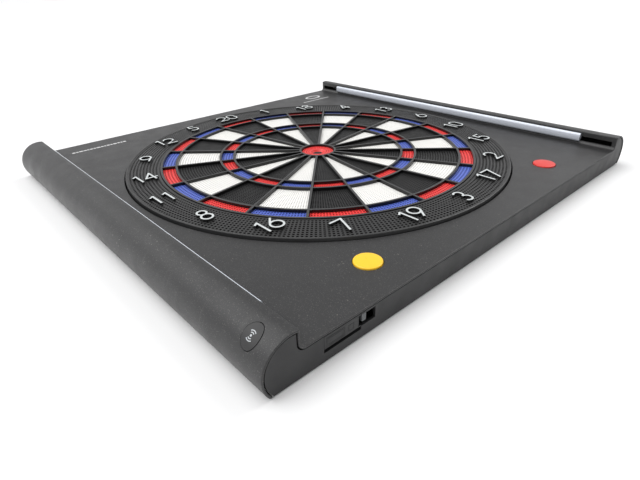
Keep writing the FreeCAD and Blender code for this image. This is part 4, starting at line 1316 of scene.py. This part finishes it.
class BOARD_OT_fasteners(bpy.types.Operator):
    """Put a cross-recess screw at every screw place"""
    bl_idname = "board.fasteners"
    bl_label = "Screws and pin"

    def execute(self, context):
        steel = brushed("zinc_steel", (0.55, 0.56, 0.57))
        tree = screw_tree()
        for node in ("housing_screws", "plate_screws", "ring_screws", "board_screws"):
            down = node == "board_screws"
            boxes = loose_parts(node)
            heads = [(*centre_of(low, high), high.z if down else low.z) for low, high in boxes]
            low, high = boxes[0]
            scattered(
                node + "_heads", heads, tree, "steel", node, steel, Length=high.z - low.z - SHANK_START,
                Head_Radius=(high.x - low.x) / 2, Turn=math.pi if down else 0.0,
            )
        dress("port_cover_pin", "port_cover_hinge_pin", "main", "steel", steel, 0.0001, 1)
        return {"FINISHED"}


class BOARD_OT_power_switch(bpy.types.Operator):
    """Finish the slide knob, its body and the power socket"""
    bl_idname = "board.power_switch"
    bl_label = "Power switch and socket"

    def execute(self, context):
        knob = "power_switch_knob"
        grey = moulded("knob_grey", (0.10, 0.105, 0.11), 0.35)
        black = moulded("switch_case_black", (0.02, 0.02, 0.021))
        dress(knob, "power_switch_slider", knob, "knob", grey, 0.0002)
        dress("power_switch_body", "power_switch_case", "main", "switch_body", black, 0.0002)
        steel = brushed("socket_steel", (0.6, 0.6, 0.6))
        dress("power_socket", "power_socket_shell", "main", "steel", steel)
        return {"FINISHED"}


class BOARD_OT_electronics(bpy.types.Operator):
    """Finish the boards, switches, plugs, mat, film and plate inside"""
    bl_idname = "board.electronics"
    bl_label = "Electronics and target backing"

    def execute(self, context):
        green = circuit("main_board_mask", (0.008, 0.085, 0.035))
        inside = (
            ("main_board", green, "circuit_board", 0.0001),
            ("switch_boards", green, "circuit_board", 0.0001),
            ("tact_switches", moulded("switch_black", (0.022, 0.022, 0.024), 0.4), "switch_body", 0.0001),
            ("radio_module", brushed("can_steel", (0.62, 0.62, 0.6)), "steel", 0.0002),
            ("board_plugs", moulded("plug_cream", (0.62, 0.58, 0.46), 0.45), "plug", 0.0002),
            ("backing_plate", moulded("plate_black", (0.03, 0.03, 0.03), 0.55), "plate", 0.0),
            ("rubber_mat", rubber("mat_grey", (0.06, 0.06, 0.062)), "mat_rubber", 0.0003),
            ("sensor_film", glossy("film_clear", (0.55, 0.5, 0.36), 0.18), "film", 0.0),
            ("back_pads", rubber("pad_black", (0.02, 0.02, 0.02)), "pad_rubber", 0.0002),
        )
        for node, material, slot, round_size in inside:
            dress(node, node + "_part", "main", slot, material, round_size, 1)
        insulation = {
            "lead_left_light": (0.02, 0.02, 0.022), "lead_right_light": (0.03, 0.03, 0.032),
            "lead_yellow": (0.5, 0.33, 0.01), "lead_red": (0.35, 0.02, 0.015),
            "lead_wireless": (0.02, 0.03, 0.2),
        }
        for node, tint in insulation.items():
            dress(node, node + "_wire", "main", "lead", rubber(node + "_sleeve", tint, 500.0))
        return {"FINISHED"}


# ------------------------------------------------------------------ printed marks
def printed(name, shapes, height, material):
    """Flat printed shapes, a hair above a surface."""
    lift = 0.00004
    piece = mesh_piece(name, *prisms(shapes, height - lift, height + lift), material)
    return finish_piece(piece, "main", "numeral")


def dash(left, right, y, tall):
    return [(left, y - tall / 2), (right, y - tall / 2), (right, y + tall / 2), (left, y + tall / 2)]


class BOARD_OT_prints(bpy.types.Operator):
    """Print the generic bars and ring on the panel"""
    bl_idname = "board.prints"
    bl_label = "Printed marks"

    def execute(self, context):
        pale = moulded("print_pale", finishes().print_grey, 0.5)
        panel = casing().panel
        printed("panel_bars", self.left_bars() + self.right_bars(), panel, pale)
        printed("panel_ring", self.ring(), panel, pale)
        return {"FINISHED"}

    def left_bars(self):
        """A row of bars of five widths in turn."""
        widths = (0.0042, 0.0028, 0.0052, 0.0034, 0.0024)
        bars = []
        left = -0.235
        while left < -0.163:
            right = left + widths[len(bars) % len(widths)]
            bars.append(dash(left, right, 0.2385, 0.0042))
            left = right + 0.0011
        return bars

    def right_bars(self):
        places = [0.164 + i * 0.0044 for i in range(14)]
        return [dash(left, left + 0.0032, 0.2185, 0.0032) for left in places]

    def ring(self):
        """A ring between two ellipses, as short pieces side by side."""
        steps = 48
        middle = (0.203, 0.2385)
        edges = []
        for half_x, half_y in ((0.0125, 0.0062), (0.0165, 0.0095)):
            edges.append([(middle[0] + x * half_x, middle[1] + y * half_y) for x, y in circle(1.0, steps)])
        inner, outer = edges
        pairs = [(i, (i + 1) % steps) for i in range(steps)]
        return [[inner[i], outer[i], outer[j], inner[j]] for i, j in pairs]


# ------------------------------------------------------------------ stage
class BOARD_OT_stage(bpy.types.Operator):
    """Lay the pale floor, set soft studio light and the camera"""
    bl_idname = "board.stage"
    bl_label = "Stage"

    def execute(self, context):
        sizes = context.scene.board_stage
        half = sizes.floor_size / 2
        pale = Shader("floor_pale", 0.6, Specular_IOR_Level=0.2)
        pale.paint(pale.mix(pale.noise(1.5, 2.0), (0.83, 0.83, 0.83), (0.87, 0.87, 0.87)))
        floor = mesh_piece(
            "floor", [(-half, -half, 0), (half, -half, 0), (half, half, 0), (-half, half, 0)], [(0, 1, 2, 3)],
            pale.material,
        )
        self.sun("overhead", (-0.25, 0.35, 1.0), 75.0, 2.2)
        self.sun("window", (-0.9, 0.5, 0.8), 35.0, 0.6)
        self.sun("lamp", (0.72, 0.0, 0.69), 24.0, 0.8)
        world = bpy.data.worlds.new("studio")
        context.scene.world = world
        context.scene.view_settings.view_transform = "Standard"
        self.surroundings(world)
        self.camera(sizes)
        return {"FINISHED"}

    def surroundings(self, world):
        """Pale walls all round and a dimmer ceiling."""
        world.use_nodes = True
        tree = world.node_tree
        back = tree.nodes["Background"]
        back.inputs["Strength"].default_value = 1.0
        way = tree.nodes.new("ShaderNodeTexCoord").outputs["Generated"]
        split = tree.nodes.new("ShaderNodeSeparateXYZ")
        tree.links.new(way, split.inputs[0])
        ramp = tree.nodes.new("ShaderNodeValToRGB")
        tree.links.new(split.outputs[2], ramp.inputs[0])
        elements = ramp.color_ramp.elements
        elements.new(0.5)
        for element, (place, shade) in zip(elements, ((0.06, 1.0), (0.42, 0.55), (0.75, 0.36))):
            element.position = place
            element.color = (shade, shade, shade * 1.01, 1)
        tree.links.new(ramp.outputs[0], back.inputs["Color"])

    def sun(self, name, place, spread, strength):
        """A wide soft light that falls from a direction."""
        data = bpy.data.lights.new(name, "SUN")
        data.angle = math.radians(spread)
        data.energy = strength
        lamp = bpy.data.objects.new(name, data)
        bpy.context.scene.collection.objects.link(lamp)
        lamp.rotation_euler = (-Vector(place)).to_track_quat("-Z", "Y").to_euler()

    def camera(self, sizes):
        data = bpy.data.cameras.new("camera")
        data.lens = sizes.camera_lens
        data.sensor_width = 36.0
        data.clip_start = 0.01
        eye = bpy.data.objects.new("camera", data)
        bpy.context.scene.collection.objects.link(eye)
        look = (Vector(sizes.camera_aim) - Vector(sizes.camera_place)).to_track_quat("-Z", "Y").to_matrix()
        roll = Matrix.Rotation(math.radians(sizes.camera_roll), 3, "Z")
        eye.matrix_world = Matrix.Translation(sizes.camera_place) @ (look @ roll).to_4x4()
        bpy.context.scene.camera = eye


# ------------------------------------------------------------------ panel and registration
OPERATORS = (
    BOARD_OT_stage, BOARD_OT_front_cover, BOARD_OT_rear_housing, BOARD_OT_port_cover, BOARD_OT_sectors,
    BOARD_OT_spider, BOARD_OT_number_ring, BOARD_OT_bulls, BOARD_OT_numerals, BOARD_OT_buttons,
    BOARD_OT_light_bars, BOARD_OT_fasteners, BOARD_OT_power_switch, BOARD_OT_electronics, BOARD_OT_prints,
)
GROUPS = (
    ("board_casing", CasingSizes), ("board_target", TargetSizes), ("board_finishes", Finishes),
    ("board_stage", StageSizes),
)


class BOARD_PT_panel(bpy.types.Panel):
    """Sizes, finishes and pieces of the dartboard"""
    bl_idname = "BOARD_PT_panel"
    bl_label = "Dartboard"
    bl_space_type = "VIEW_3D"
    bl_region_type = "UI"
    bl_category = "Dartboard"

    def draw(self, context):
        for name, group in GROUPS:
            box = self.layout.box()
            for key in group.__annotations__:
                box.prop(getattr(context.scene, name), key)
        for operator in OPERATORS:
            self.layout.operator(operator.bl_idname)


def register():
    for name, group in GROUPS:
        bpy.utils.register_class(group)
        setattr(bpy.types.Scene, name, PointerProperty(type=group))
    for kind in (*OPERATORS, BOARD_PT_panel):
        bpy.utils.register_class(kind)


def unregister():
    for kind in (BOARD_PT_panel, *reversed(OPERATORS)):
        bpy.utils.unregister_class(kind)
    for name, group in reversed(GROUPS):
        delattr(bpy.types.Scene, name)
        bpy.utils.unregister_class(group)


def main():
    register()
    for operator in OPERATORS:
        space, action = operator.bl_idname.split(".")
        getattr(getattr(bpy.ops, space), action)()


if __name__ == "__main__":
    main()
